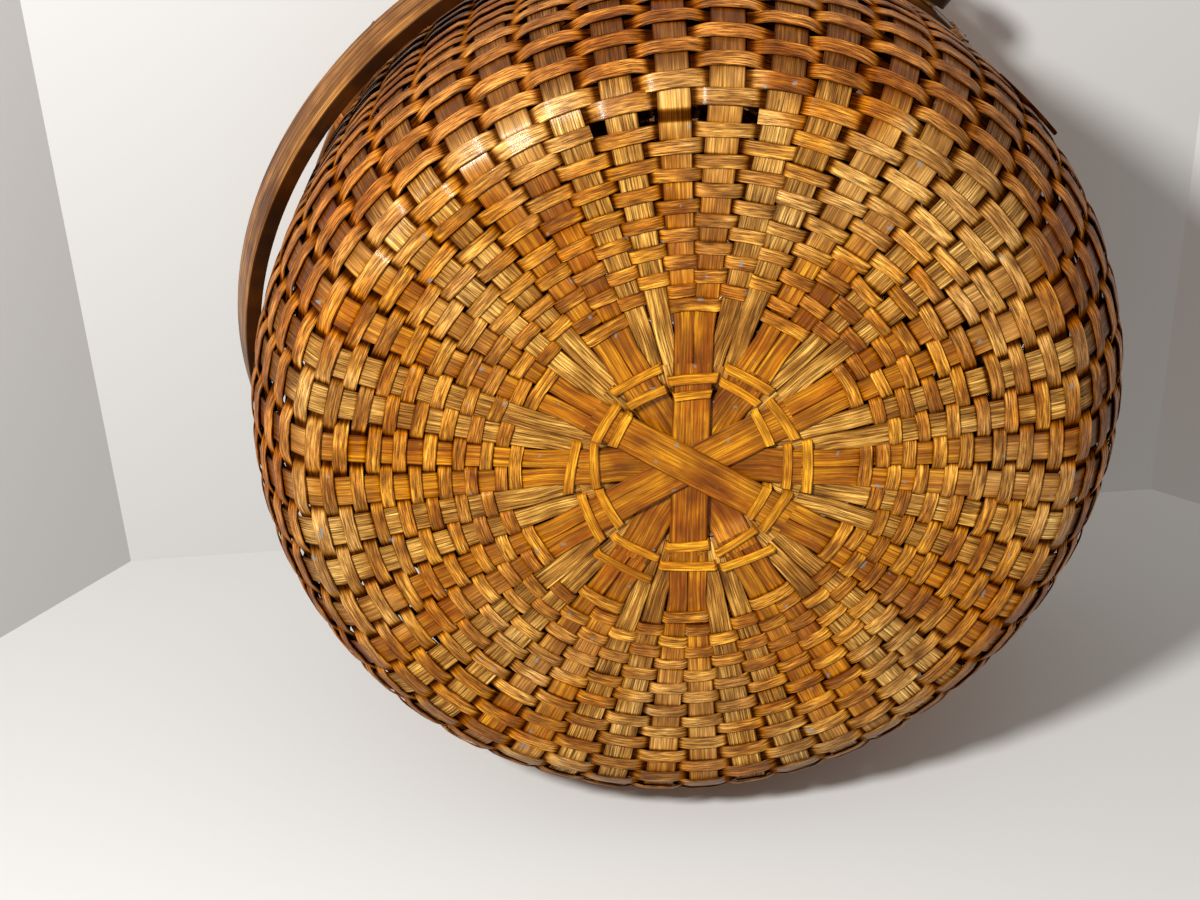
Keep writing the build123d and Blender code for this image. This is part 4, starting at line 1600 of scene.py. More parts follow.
    def _binding_strands(self, radii: np.ndarray, turn: int) -> list[Strand]:
        """One binding row: outside each smooth strip's end, and inside the rough ones between.

        Args:
            radii: distance from the middle at each end of the smooth strips, going round.
            turn: which of the rows.

        Returns:
            One strand for each end, long enough to meet the next behind the rough strip.
        """
        chance = np.random.default_rng(self.BINDING_SEED + turn)
        first = math.radians(STRIP_ANGLES[StripKind.SMOOTH][3] + 180)
        span = 2 * math.pi / len(radii)
        share = np.linspace(-self.BINDING_SPAN, self.BINDING_SPAN, self.BINDING_POINTS)
        turned = share * span
        round_share, straight_share = self.BINDING_BOW
        steepness, lateness = self.BINDING_SHADE
        strands = []
        for end, middle in enumerate(radii):
            slant = chance.uniform(-self.BINDING_SLANT, self.BINDING_SLANT)
            radius = middle * (round_share + straight_share / np.cos(turned) + turned * slant)
            strip = math.degrees(first - end * span) % 180
            beside = [abs((strip - a + 90) % 180 - 90) for a in STRIP_ANGLES[StripKind.SMOOTH]]
            number, thick = int(np.argmin(beside)), self.weave.stake_thick
            outside = self.hub_offset(StripKind.SMOOTH, number, radius) + thick + self.BINDING_OUT
            inside = self.hub_offset(StripKind.ROUGH, 2, radius) - thick - self.BINDING_IN
            dive = ease((2 * np.abs(share) - chance.uniform(*self.BINDING_REACH)) / self.BINDING_DIVE)
            offset = outside * (1 - dive) + inside * dive
            strands.append(laid_strand(
                self.form.meridian, radius, first - (end * span + turned), offset,
                half_width=chance.uniform(*self.BINDING_WIDTHS) * MM,
                half_thick=self.BINDING_HALF_THICK,
                tone=float(chance.uniform(*self.BINDING_TONES)),
                # painted shade as it goes inside
                buried=ease(dive * steepness - lateness),
                start=float(turn + end),
            ))
        return strands

    def build(self, sweep: SweepTree, finishes: Finishes) -> None:
        """Build every woven piece of the body.

        Args:
            sweep: the tree that gives strands their section.
            finishes: the materials.
        """
        self.strip_pieces(sweep, finishes)
        self.row_pieces(sweep, finishes)
        self.binding_pieces(sweep, finishes)


# --- Rims: two hoops, a filler and the splint that lashes them --------------------------------


@dataclass
class LashedRim:
    """Outer and inner hoop of one rim with the splint wound round them.

    Args:
        heights: heights of the middle of the outer and the inner hoop.
        half_widths: half the height of the outer and the inner hoop.
        names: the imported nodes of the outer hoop, the inner hoop and the lashing.
        body: the body that the rim rides on.
        seed: picks the unevenness.
        radii: radius of the middle of the outer and the inner hoop.
        half_thick: half the thickness of a hoop.
        scarf: length in which a hoop's two ends overlap.
        laps: angles at which the outer and the inner hoop overlap.
        turns: how often the splint is wound round.
        splint_half_thick: half its thickness.
        splint_half_width: half its width.
        first: angle at which it starts.
        outer_pace: how fast it moves along on the outer face, against the rest of its turn.
    """

    HOOP = Section(14, 0.45, 0.42, 0.02)
    SPLINT = Section(8, 0.55, 0.8, 0.08)
    WOBBLE = 0.15 * MM  # how far a hoop is off its circle
    LAP_SHIFT = 0.88  # share of its thickness by which each end of a hoop moves
    STEPS = 44  # points of the splint in one turn
    SQUARENESS = 0.3  # of a turn: 1 is an oval, and less is closer to a rectangle
    CLEARANCE = 0.05 * MM
    THINNEST = 0.12  # share of the thickness at the tip of a hoop's end
    UNEVEN = 0.012  # share of a turn's pitch
    HOOP_POINTS = 361
    HOOP_TONE = 0.4
    WAVES = 3  # of a hoop that is off its circle
    TURN_POINTS = 721  # before they are spread evenly
    TOP_SLOPE = 1.2  # share of half the depth over which a turn slopes between the two hoops
    SPLINT_TONE = 0.45
    SPLINT_SEED = 5  # by which it differs from the hoops' seed
    SHADE = (0.2, 0.8, 0.4)  # start and stretch in which the inner side darkens, and how far

    heights: tuple[float, float]
    half_widths: tuple[float, float]
    names: tuple[str, str, str]
    body: str
    seed: int
    radii: tuple[float, float] = (140.512 * MM, 132.436 * MM)
    half_thick: float = 1.9 * MM
    scarf: float = 42 * MM
    laps: tuple[float, float] = (math.radians(35), math.radians(200))
    turns: int = 24
    splint_half_thick: float = 0.3 * MM
    splint_half_width: float = 2.6 * MM
    first: float = math.radians(7.5)
    outer_pace: float = 0.55

    def _hoop(self, radius: float, height: float, half_width: float, lap_angle: float) -> Strand:
        """A hoop bent from one strip, whose tapered ends overlap in a scarf.

        Args:
            radius: of its middle.
            height: of its middle.
            half_width: half its own height.
            lap_angle: where its ends overlap.

        Returns:
            The hoop.
        """
        lap = self.scarf / radius
        angle = np.linspace(lap_angle, lap_angle + 2 * math.pi + lap, self.HOOP_POINTS)
        into = ease((angle - lap_angle) / lap)
        out = ease((angle - lap_angle - 2 * math.pi) / lap)
        whole = np.minimum(into, 1 - out)
        shift = (1 - into - out) * self.half_thick
        wobble = self.WOBBLE * np.sin(self.WAVES * angle + self.seed) * whole
        thick = np.clip(whole, self.THINNEST, 1) * self.half_thick
        bent = radius - shift * self.LAP_SHIFT + wobble
        return ring_strand(bent, angle, height, half_width, thick, tone=self.HOOP_TONE)

    def _turn(self) -> tuple[np.ndarray, np.ndarray, np.ndarray]:
        """One turn of the splint round both hoops, in points at even distances.

        Returns:
            Radius, height and phase of each point.
        """
        clear = self.splint_half_thick + self.CLEARANCE
        half_depth = self._depth()
        low = min(h - w for h, w in zip(self.heights, self.half_widths)) - clear
        high, inner_high = (h + w + clear for h, w in zip(self.heights, self.half_widths))
        phase = np.linspace(0, 2 * math.pi, self.TURN_POINTS) - math.pi / 4
        side, tall = (np.sign(c) * np.abs(c) ** self.SQUARENESS for c in (np.cos(phase), np.sin(phase)))
        top = inner_high + (high - inner_high) * ease((side + 1.0) / self.TOP_SLOPE)
        height = (low + top) / 2 + (top - low) / 2 * tall
        radius = sum(self.radii) / 2 + half_depth * side
        length = run_length(np.stack([radius, height], axis=1))
        even = np.linspace(0, length[-1], self.STEPS + 1)[:-1]
        return tuple(np.interp(even, length, line) for line in (radius, height, phase))

    def _depth(self) -> float:
        """Half the depth of a turn of the splint."""
        outer, inner = self.radii
        return (outer - inner) / 2 + self.half_thick + self.splint_half_thick + self.CLEARANCE

    def _lashing(self) -> Strand:
        """The splint wound over both hoops, one turn between every second pair of stakes.

        Returns:
            The splint.
        """
        chance = np.random.default_rng(self.seed)
        count = np.arange(self.turns * self.STEPS + 1)
        radius, height, phase = (line[count % self.STEPS] for line in self._turn())
        pace = np.where(radius > self.radii[0], self.outer_pace, 1.0)
        moved = np.concatenate([[0.0], np.cumsum(pace[:-1])])
        moved = moved / moved[-1] * self.turns
        knots = np.arange(self.turns + 1)
        uneven = np.interp(count / self.STEPS, knots, chance.normal(0, self.UNEVEN, self.turns + 1))
        angle = self.first + 2 * math.pi / self.turns * (moved + uneven)
        side = np.clip((radius - sum(self.radii) / 2) / self._depth(), -1, 1)
        start, stretch, darkest = self.SHADE
        return Strand(
            polar(radius, angle, height), tangential(angle), polar(np.cos(phase), angle, np.sin(phase)),
            self.splint_half_width, self.splint_half_thick,
            # painted shade on the inner side
            tone=self.SPLINT_TONE, buried=ease((-side - start) / stretch) * darkest,
        )

    def build(self, sweep: SweepTree, finishes: Finishes) -> None:
        """Build the hoops and the lashing.

        Args:
            sweep: the tree that gives strands their section.
            finishes: the materials.
        """
        solid = replace(self.HOOP, seed=self.seed)
        flat = replace(self.SPLINT, seed=self.seed + self.SPLINT_SEED)
        for name, *sizes in zip(self.names, self.radii, self.heights, self.half_widths, self.laps):
            sweep.piece(name, "bent", [self._hoop(*sizes)], solid, finishes.hoop, self.body, "hoop_wood")
        sweep.piece(
            self.names[2], "splint", [self._lashing()], flat, finishes.lashing, self.body,
            "lashing_splint",
        )


@dataclass
class RimFiller:
    """The round withy that fills the gap between the body's hoops, over the stake ends.

    Args:
        radius: of the ring that it lies in.
        height: of its middle.
        half: half its thickness.
        start: angle of its ends.
        wobble: how far it is off the level.
    """

    SECTION = Section(10, 1.0, 1.0, 0.08, seed=3)
    POINTS = 241
    WAVES = 5

    radius: float = 136.474 * MM
    height: float = 152.5 * MM
    half: float = 1.7 * MM
    start: float = math.radians(110)
    wobble: float = 0.12 * MM

    def build(self, sweep: SweepTree, finishes: Finishes) -> None:
        """Build the filler.

        Args:
            sweep: the tree that gives strands their section.
            finishes: the materials.
        """
        angle = np.linspace(0.0, 2 * math.pi, self.POINTS) + self.start
        height = self.height + self.wobble * np.sin(self.WAVES * angle)
        strand = ring_strand(self.radius, angle, height, self.half, self.half)
        sweep.piece("rim_filler", "withy", [strand], self.SECTION, finishes.hoop, "root", "hoop_wood")


# --- Bail ------------------------------------------------------------------------------------


@dataclass
class Bail:
    """The bentwood bail, folded down behind the wall at rest.

    Args:
        pivot_height: height of its pivots.
        radius: of its bow, which is also how far its legs stand from the middle.
        leg_end: how far the legs go on past the pivots.
        leg_length: length of the legs from the pivots to the bow.
        half_width: half its width.
        half_thick: half its thickness.
        fold: how far it hangs below the level.
    """

    SECTION = Section(16, 0.16, 0.22, 0.015, seed=8)
    LEG_POINTS = 28
    BOW_POINTS = 121
    TIP = 0.02  # square of the share of the width that is left at a leg's very end
    TONE = 0.45

    pivot_height: float = 148.0 * MM
    radius: float = 146.612 * MM
    leg_end: float = 9.0 * MM
    leg_length: float = 18.588 * MM
    half_width: float = 8.0 * MM
    half_thick: float = 2.8 * MM
    fold: float = math.radians(24.0)

    def build(self, sweep: SweepTree, finishes: Finishes) -> None:
        """Sweep the bail along its legs and its bow, with rounded leg ends.

        Args:
            sweep: the tree that gives strands their section.
            finishes: the materials.
        """
        leg = np.linspace(-self.leg_end, self.leg_length, self.LEG_POINTS)[:-1]
        bow = np.linspace(0, math.pi, self.BOW_POINTS)
        aside = np.concatenate([self.radius + 0 * leg, self.radius * np.cos(bow), -self.radius + 0 * leg])
        out = np.concatenate([leg, self.leg_length + self.radius * np.sin(bow), leg[::-1]])
        along = np.array([0.0, math.cos(self.fold), -math.sin(self.fold)])
        normal = np.array([0.0, math.sin(self.fold), math.cos(self.fold)])
        origin = np.array([0.0, 0.0, self.pivot_height])
        sideways = np.outer(aside, [1.0, 0.0, 0.0])
        depth = np.clip((out + self.leg_end) / self.half_width, 0, 1)
        strand = Strand(
            centre=origin + sideways + np.outer(out, along),
            across=np.tile(normal, (len(out), 1)),
            facing=sideways + np.outer(np.maximum(out - self.leg_length, 0), along),
            half_width=self.half_width * np.sqrt(np.clip(1 - (1 - depth) ** 2, self.TIP, 1)),
            half_thick=self.half_thick, tone=self.TONE,
        )
        sweep.piece("bail_bow", "bent", [strand], self.SECTION, finishes.bail, "bail", "bentwood")


# --- Lid -------------------------------------------------------------------------------------


@dataclass
class LidWeave:
    """The lid's looped stakes, the rows woven on them and the hoop round the fish hole.

    Args:
        form: the lid's sizes.
        loops: number of looped stakes.
        row_start: radius of the first row.
        row_end: radius that the last row stays inside.
        row_pitch: distance from one row to the next.
        loop_radius: radius at which a stake goes round the fish hole.
        layer: how far the loops lie off the surface, outside and inside in turn.
    """

    STAKE_SECTION = Section(8, 0.15, 0.5, 0.05)
    ROW_SECTION = Section(8, 0.24, 0.42, 0.12, seed=6)
    HOOP_SECTION = Section(12, 0.6, 0.6, 0.03, seed=4)
    STOCK = Stock(2.42 * MM, 0.32 * MM, 0.62 * MM)
    WIDTH_RUNS = (0.0, 35 * MM, 100 * MM)
    WIDTHS = (3.2 * MM, 5.2 * MM, 9.4 * MM)  # of a stake at these
    STAKE_THICK = 0.26 * MM  # half the thickness
    LEG_ENDS = (1.0 * MM, 0.4 * MM)  # gaps at the loop and at the edge
    LEG_LEAN = 20 * MM  # stretch in which two legs lean apart
    LEG_SETTLE = 6 * MM  # stretch in which a leg comes into the weave
    LOOP_HALF_WIDTH = 2.1 * MM
    HOOP_HALF_HEIGHT = 2.5 * MM
    OWN_ANGLE = 14.0  # a stake's legs stand within so many degrees of its middle
    STAKE_SEED = 41
    WEAVE_SEED = 31
    STAKE_TONES = (0.2, 0.8)
    LEG_TONES = (-0.06, 0.06)  # how far a leg's tone is off its stake's
    SHOULDER_POINTS = 24
    HOOP_POINTS = 161
    HOOP_TONE = 0.4

    form: LidForm
    loops: int = 12
    row_start: float = 38.2 * MM
    row_end: float = 133.4 * MM
    row_pitch: float = 5.0 * MM
    loop_radius: float = 31.55 * MM
    layer: float = 0.34 * MM
    weave: Weave = field(init=False)

    def __post_init__(self) -> None:
        """Draw up the schedule of rows."""
        meridian = self.form.meridian
        ends = (meridian.run_at_radius(radius) for radius in (self.row_start, self.row_end))
        rows = [
            Row(float(run), alternate(number), self.STOCK, "lid")
            for number, run in enumerate(np.arange(*ends, self.row_pitch))
        ]
        self.weave = Weave(
            meridian, rows, self.stake_width, seed=self.WEAVE_SEED, stake_thick=self.STAKE_THICK
        )

    def stake_width(self, run: np.ndarray | float) -> np.ndarray:
        """Width of a lid stake at a running length."""
        return np.interp(run, self.WIDTH_RUNS, self.WIDTHS)

    def _leg(self, stake: int, layer: float, tone: float) -> Strand:
        """One of the lid's stakes from the loop's shoulder to the rim.

        Args:
            stake: its number.
            layer: how far the loop lies off the surface.
            tone: how dark it is.

        Returns:
            The leg.
        """
        meridian, (inner, outer) = self.form.meridian, self.LEG_ENDS
        start = meridian.run_at_radius(self.loop_radius) + inner
        shoulder = self.weave.stakes[stake]

        def angle_of(run: np.ndarray) -> np.ndarray:
            """The leg keeps to its own place, closer to its twin near the hole."""
            lean = self.weave.stake_angle(stake, run) - shoulder
            return shoulder + lean * ease((run - start) / self.LEG_LEAN)

        return self.weave.stake_strand(
            stake, start, meridian.length - outer, lambda run: self.stake_width(run) / 2, angle_of,
            lambda run: layer * (1 - ease((run - start) / self.LEG_SETTLE)), tone, lane=0.0,
        )

    def _shoulder(self, first: int, last: int, layer: float, tone: float) -> Strand:
        """The band of a stake that goes round the fish hole's edge between two legs.

        Args:
            first: number of the leg on one side.
            last: number of the leg on the other side.
            layer: how far the loop lies off the surface.
            tone: how dark it is.

        Returns:
            The band.
        """
        angle = np.linspace(self.weave.stakes[first], self.weave.stakes[last], self.SHOULDER_POINTS)
        run = np.full_like(angle, self.form.meridian.run_at_radius(self.loop_radius))
        return laid_strand(
            self.form.meridian, run, angle, layer,
            half_width=self.LOOP_HALF_WIDTH, half_thick=self.STAKE_THICK, tone=tone,
        )

    def _own(self, middle: float) -> list[int]:
        """The stakes that stand near an angle, in the order of their own angles.

        Args:
            middle: the angle, in degrees.

        Returns:
            Their numbers.
        """
        away = {
            stake: (math.degrees(angle) - middle + 180) % 360 for stake, angle in enumerate(self.weave.stakes)
        }
        near = (stake for stake in away if abs(away[stake] - 180) < self.OWN_ANGLE)
        return sorted(near, key=away.get)

    def stake_pieces(self, sweep: SweepTree, finishes: Finishes) -> None:
        """Build the looped stakes, each with its four legs.

        Args:
            sweep: the tree that gives strands their section.
            finishes: the materials.
        """
        chance = np.random.default_rng(self.STAKE_SEED)
        for number in range(self.loops):
            own = self._own(number * 360 / self.loops)
            layer = self.layer if number % 2 else -self.layer
            tone = float(chance.uniform(*self.STAKE_TONES))
            strands = [self._leg(i, layer, tone + float(chance.uniform(*self.LEG_TONES))) for i in own]
            strands.append(self._shoulder(own[0], own[-1], layer, tone))
            sweep.piece(
                f"lid_stake_{number + 1:02d}", "splint", strands, replace(self.STAKE_SECTION, seed=number),
                finishes.rough_splint, "lid", "rough_splint",
            )

    def build(self, sweep: SweepTree, finishes: Finishes) -> None:
        """Build the lid's stakes, rows and the fish hole's hoop.

        Args:
            sweep: the tree that gives strands their section.
            finishes: the materials.
        """
        self.stake_pieces(sweep, finishes)
        strands = [self.weave.row_strand(i) for i in range(len(self.weave.rows))]
        sweep.piece(
            "lid_weave", "splint", strands, self.ROW_SECTION, finishes.side_weaver, "lid", "side_weaver"
        )
        angle = np.linspace(0, 2 * math.pi, self.HOOP_POINTS)
        hole, hoop = self.form.hole_radius, self.form.hole_hoop
        ring = ring_strand(
            (hole + hoop) / 2, angle, float(self.form.dome_height(hoop)), self.HOOP_HALF_HEIGHT,
            (hoop - hole) / 2, tone=self.HOOP_TONE,
        )
        sweep.piece(
            "fish_hole_hoop", "bent", [ring], self.HOOP_SECTION, finishes.hoop, "lid", "hoop_wood"
        )


# --- Latch knob and the brass fittings --------------------------------------------------------


@dataclass
class LatchKnob:
    """The turned knob that the wire loop drops over.

    Args:
        height: height of its axis.
        stem_start: distance from the basket's axis at which its stem starts.
        stem_end: the same where its head starts.
        stem_radius: radius of the stem.
        head_radius: radius of the head.
        head_length: length of the head.
        rounding: radius of the head's outer edge.
        facets: number of faces that go round it.
    """

    height: float = 160.55 * MM
    stem_start: float = 134.536 * MM
    stem_end: float = 147.412 * MM
    stem_radius: float = 3.0 * MM
    head_radius: float = 7.0 * MM
    head_length: float = 5.6 * MM
    rounding: float = 2.2 * MM
    facets: int = 40

    def _profile(self) -> list[tuple[float, float]]:
        """Radius and distance from the basket's axis along the knob, from the inner end out.

        Returns:
            The profile's points.
        """
        stem, head, out, bend = self.stem_radius, self.head_radius, self.stem_end, self.rounding
        tip = out + self.head_length
        neck = [
            (stem, out - 1.6 * MM), (stem * 1.12, out - 0.5 * MM), (stem * 1.25, out),
            (head - 1.0 * MM, out + 0.1 * MM), (head - 0.2 * MM, out + 0.6 * MM), (head, out + 1.4 * MM),
        ]
        edge = [
            (head - bend + bend * math.sin(a), tip - bend + bend * math.cos(a))
            for a in np.linspace(math.pi / 2, 0, 7)
        ]
        dimple = [(2.6 * MM, tip), (2.3 * MM, tip - 0.25 * MM), (1.2 * MM, tip - 0.25 * MM), (0.0, tip)]
        return [(0.0, self.stem_start), (stem, self.stem_start), *neck, *edge, *dimple]

    def _mesh(self) -> bpy.types.Mesh:
        """The profile turned round the knob's axis.

        Returns:
            The mesh, without its finish.
        """
        profile = self._profile()
        rings, count = profile[1:-1], self.facets
        around = np.linspace(0, 2 * math.pi, count, endpoint=False)
        vertices = [(0.0, -profile[0][1], self.height)]
        for radius, distance in rings:
            vertices += [
                (radius * math.cos(a), -distance, self.height + radius * math.sin(a)) for a in around
            ]
        vertices.append((0.0, -profile[-1][1], self.height))
        last, final = len(vertices) - 1, 1 + (len(rings) - 1) * count
        faces = [(0, 1 + (i + 1) % count, 1 + i) for i in range(count)]
        for base in range(1, final, count):
            for i in range(count):
                after = (i + 1) % count
                faces.append((base + i, base + after, base + count + after, base + count + i))
        faces += [(final + i, final + (i + 1) % count, last) for i in range(count)]
        mesh = bpy.data.meshes.new("latch_knob_turned")
        mesh.from_pydata(vertices, [], faces)
        mesh.shade_smooth()
        return mesh

    def build(self, finishes: Finishes) -> None:
        """Turn the knob and put it in the lid's front.

        Args:
            finishes: the materials.
        """
        mesh = self._mesh()
        turned = mesh.uv_layers.new(name="splint")
        for loop in mesh.loops:
            place = mesh.vertices[loop.vertex_index].co
            around = math.atan2(place.z - self.height, place.x)
            turned.data[loop.index].uv = (around * self.head_radius, place.y)
        for key, value in (("tone", 0.4), ("buried", 0.0), ("side", 0.0)):
            layer = mesh.attributes.new(key, "FLOAT", "POINT")
            layer.data.foreach_set("value", [value] * len(mesh.vertices))
        mesh.materials.append(finishes.turned)
        finish_piece(mesh, "latch_knob_turned", "lid", "latch_knob")


class BrassFittings:
    """Pins, washers, burrs, eyes, keeper and loop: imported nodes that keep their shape."""

    NODES = (
        "left_bail_pin", "right_bail_pin", "left_bail_washer", "right_bail_washer", "left_pin_burr",
        "right_pin_burr", "left_hinge_eye", "right_hinge_eye", "lid_hinge_knuckle", "hinge_pin",
        "latch_keeper", "latch_loop",
    )

    def build(self, finishes: Finishes) -> None:
        """Give each fitting the brass finish.

        Args:
            finishes: the materials.
        """
        for name in self.NODES:
            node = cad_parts[name]
            node.data.materials.clear()
            node.data.materials.append(finishes.brass)
        LOG.info("brass fittings: %d packed nodes", len(self.NODES))


# --- Camera, light and stage ------------------------------------------------------------------


@dataclass(frozen=True)
class Lamp:
    """One disc lamp of the studio.

    Args:
        name: what it does.
        place: where it stands, along the room's side, up and back directions.
        size: diameter of the disc.
        power: in watts.
    """

    name: str
    place: tuple[float, float, float]
    size: float
    power: float


@dataclass
class Stage:
    """The white box that the basket lies in on its side, its lights and its camera.

    The floor and the walls are seen only by the camera and only from their open side, so that
    they neither hide the basket nor shade it in other views.

    Args:
        camera_place: where the camera stands.
        right: direction to the right in its picture.
        down: direction downwards in its picture.
        forward: direction in which it looks.
        lens: its focal length, in millimetres.
        sensor: width of its sensor, in millimetres.
        picture: width and height of its picture, in the pixels that the corners are counted in.
        room_up: direction away from the floor.
        floor_drop: how far the floor lies from the origin.
        left_corner: where the left end of the back wall's foot is seen.
        right_corner: where its right end is seen.
        left_foot: a further place where the left wall's foot is seen.
        right_foot: the same of the right wall.
        extent: how far the walls come forward and how tall they are.
        paper: colour of the box.
        sky: colour of the world's light.
        sky_range: heights on the sky's sphere between which its strength rises.
        soft_light: strength of the world's light below and above these.
        backdrop: its strength where the camera looks past the stage.
        lamps: the lamps.
        aim: the place that they are turned to.
    """

    camera_place: tuple[float, float, float] = (-194.68 * MM, 188.65 * MM, -529.40 * MM)
    right: tuple[float, float, float] = (-0.60963, -0.79267, -0.00472)
    down: tuple[float, float, float] = (0.71135, -0.54444, -0.44448)
    forward: tuple[float, float, float] = (0.34976, -0.27432, 0.89578)
    lens: float = 57.0
    sensor: float = 36.0
    picture: tuple[float, float] = (1200.0, 900.0)
    room_up: tuple[float, float, float] = (-0.76646, 0.63783, -0.07552)
    floor_drop: float = 148.2 * MM
    left_corner: tuple[float, float] = (131.0, 561.0)
    right_corner: tuple[float, float] = (1151.0, 489.0)
    left_foot: tuple[float, float] = (0.0, 638.0)
    right_foot: tuple[float, float] = (1200.0, 504.0)
    extent: float = 1.2
    paper: str = "D7D6D3"
    sky: tuple[float, float, float, float] = (1.0, 0.972, 0.935, 1.0)
    sky_range: tuple[float, float] = (-0.6, 0.9)
    soft_light: tuple[float, float] = (0.36, 0.56)
    backdrop: float = 0.93
    lamps: tuple[Lamp, ...] = (
        Lamp("key", (-0.42, 0.54, -0.50), 0.12, 9.8),
        Lamp("lid light", (0.10, -0.35, 0.85), 0.5, 5.0),
    )
    aim: tuple[float, float, float] = (0.0, 0.0, 0.04)

    def __post_init__(self) -> None:
        """Square up the room from the corners of its floor."""
        self.up = Vector(self.room_up).normalized()
        self.ground = self.up * -self.floor_drop
        start, end = self._on_floor(self.left_corner), self._on_floor(self.right_corner)
        self.side = (end - start).normalized()
        self.back = self.up.cross(self.side)
        if self.back.dot(Vector(self.forward)) < 0:
            self.back.negate()

    def _on_floor(self, pixel: tuple[float, float]) -> Vector:
        """Point of the floor that the camera sees at a pixel.

        Args:
            pixel: where it is seen, counted from the top left.

        Returns:
            The point.
        """
        width, height = self.picture
        scale = self.lens / self.sensor * width
        aside, below = (pixel[0] - width / 2) / scale, (pixel[1] - height / 2) / scale
        ray = Vector(self.right) * aside + Vector(self.down) * below + Vector(self.forward)
        start = Vector(self.camera_place)
        return start + ray * ((self.ground - start).dot(self.up) / ray.dot(self.up))

    def build(self) -> None:
        """Set the camera, the lights, the world and the stage."""
        scene = bpy.context.scene
        scene.view_settings.view_transform = "Standard"
        self._camera(scene)
        self._world(scene)
        self._lights(scene)
        self._planes()

    def _camera(self, scene: bpy.types.Scene) -> None:
        """Put the camera where it looks up at the basket's base.

        Args:
            scene: the scene that gets it.
        """
        data = bpy.data.cameras.new("camera")
        data.lens, data.sensor_width = self.lens, self.sensor
        data.clip_start, data.clip_end = 10 * MM, 20.0
        camera = bpy.data.objects.new("camera", data)
        axes = Matrix((self.right, [-c for c in self.down], [-c for c in self.forward])).transposed()
        camera.matrix_world = Matrix.Translation(self.camera_place) @ axes.to_4x4()
        scene.collection.objects.link(camera)
        scene.camera = camera

    def _world(self, scene: bpy.types.Scene) -> None:
        """Soft light that is stronger from above, and white where the camera sees past the stage.

        Args:
            scene: the scene that gets it.
        """
        world = bpy.data.worlds.new("studio")
        world.use_nodes = True
        graph = Graph(world.node_tree)
        ray = graph.node("ShaderNodeLightPath").outputs["Is Camera Ray"]
        spot = graph.node("ShaderNodeTexCoord").outputs["Generated"]
        height = graph.node("ShaderNodeSeparateXYZ", {0: spot}).outputs["Z"]
        soft = graph.ramp(height, *self.sky_range, *self.soft_light, shape="LINEAR")
        strength = graph.add("ShaderNodeMix", {0: ray, 2: soft, 3: self.backdrop})
        light = graph.add("ShaderNodeBackground", {"Color": self.sky, "Strength": strength})
        graph.node("ShaderNodeOutputWorld", {"Surface": light})
        scene.world = world

    def _lights(self, scene: bpy.types.Scene) -> None:
        """Aim each lamp at the middle of the basket.

        Args:
            scene: the scene that gets them.
        """
        for lamp in self.lamps:
            data = bpy.data.lights.new(lamp.name, "AREA")
            data.energy, data.size, data.shape = lamp.power, lamp.size, "DISK"
            aside, above, behind = lamp.place
            place = self.side * aside + self.up * above + self.back * behind
            body = bpy.data.objects.new(lamp.name, data)
            body.rotation_euler = (Vector(self.aim) - place).to_track_quat("-Z", "Y").to_euler()
            body.location = place
            scene.collection.objects.link(body)

    def _paper(self) -> bpy.types.Material:
        """Matt white paper that can't be seen from behind.

        Returns:
            The material.
        """
        made = bpy.data.materials.new("matt white paper")
        made.use_nodes = True
        graph = Graph(made.node_tree)
        behind = graph.node("ShaderNodeNewGeometry").outputs["Backfacing"]
        white = graph.add("ShaderNodeBsdfDiffuse", {"Color": srgb(self.paper)})
        clear = graph.add("ShaderNodeBsdfTransparent")
        both = graph.add("ShaderNodeMixShader", {0: behind, 1: white, 2: clear})
        graph.node("ShaderNodeOutputMaterial", {"Surface": both})
        return made

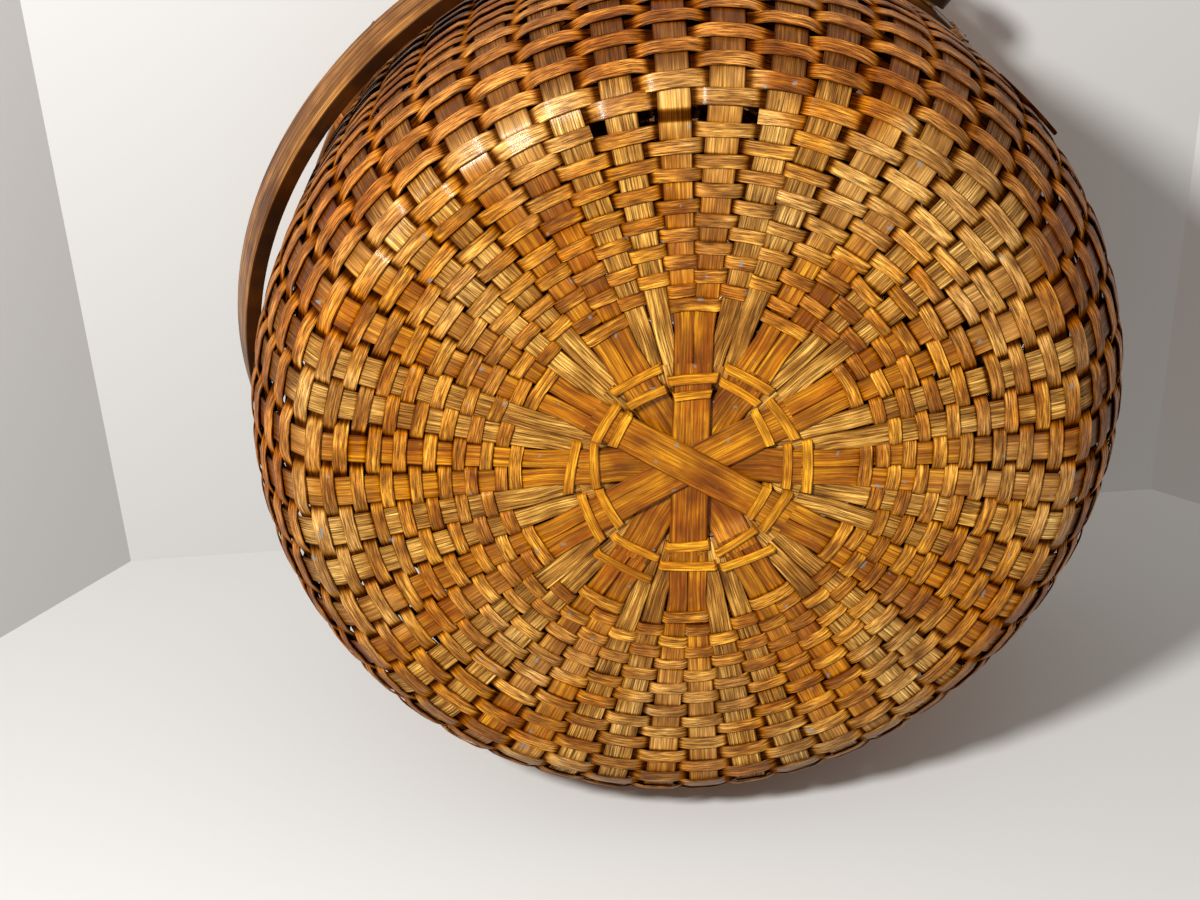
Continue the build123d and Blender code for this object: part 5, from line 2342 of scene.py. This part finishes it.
    def _planes(self) -> None:
        """The floor that the side lies on, and the three walls round it."""
        paper, tall = self._paper(), self.up * self.extent
        left, right = self._on_floor(self.left_corner), self._on_floor(self.right_corner)
        near_left = left + (self._on_floor(self.left_foot) - left).normalized() * self.extent
        near_right = right + (self._on_floor(self.right_foot) - right).normalized() * self.extent
        self._plane("floor", (left, right, near_right, near_left), self.up, paper)
        self._plane("back_wall", (left, right, right + tall, left + tall), -self.back, paper)
        self._plane("left_wall", (left, near_left, near_left + tall, left + tall), self.side, paper)
        self._plane("right_wall", (right, near_right, near_right + tall, right + tall), -self.side, paper)

    def _plane(
        self, name: str, corners: Sequence[Vector], normal: Vector, paper: bpy.types.Material
    ) -> None:
        """One sheet of the stage, facing the way that it is seen from.

        Args:
            name: the sheet's name.
            corners: its four corners, going round.
            normal: the direction that its open side faces.
            paper: its material.
        """
        corners = list(corners)
        if (corners[1] - corners[0]).cross(corners[2] - corners[1]).dot(normal) < 0:
            corners.reverse()
        mesh = bpy.data.meshes.new(name)
        mesh.from_pydata([tuple(c) for c in corners], [], [(0, 1, 2, 3)])
        mesh.materials.append(paper)
        sheet = bpy.data.objects.new(name, mesh)
        bpy.context.scene.collection.objects.link(sheet)
        sheet.visible_diffuse = sheet.visible_glossy = sheet.visible_transmission = False
        sheet.visible_shadow = False


# --- The whole -------------------------------------------------------------------------------


def main() -> None:
    """Build the creel piece by piece, then the stage round it."""
    logging.basicConfig(level=logging.INFO, format="%(name)s: %(message)s")
    finishes = Finishes()
    sweep = SweepTree()
    BodyWeave(BodyForm()).build(sweep, finishes)
    LashedRim(
        (149 * MM, 149 * MM), (6 * MM, 6 * MM),
        ("rim_outer_hoop", "rim_inner_hoop", "rim_lashing"), "root", seed=21,
    ).build(sweep, finishes)
    RimFiller().build(sweep, finishes)
    Bail().build(sweep, finishes)
    LashedRim(
        (160.55 * MM, 159.55 * MM), (3.9 * MM, 2.9 * MM),
        ("lid_outer_hoop", "lid_inner_hoop", "lid_lashing"), "lid", seed=22,
    ).build(sweep, finishes)
    LidWeave(LidForm()).build(sweep, finishes)
    LatchKnob().build(finishes)
    BrassFittings().build(finishes)
    Stage().build()


if __name__ == "__main__":
    main()
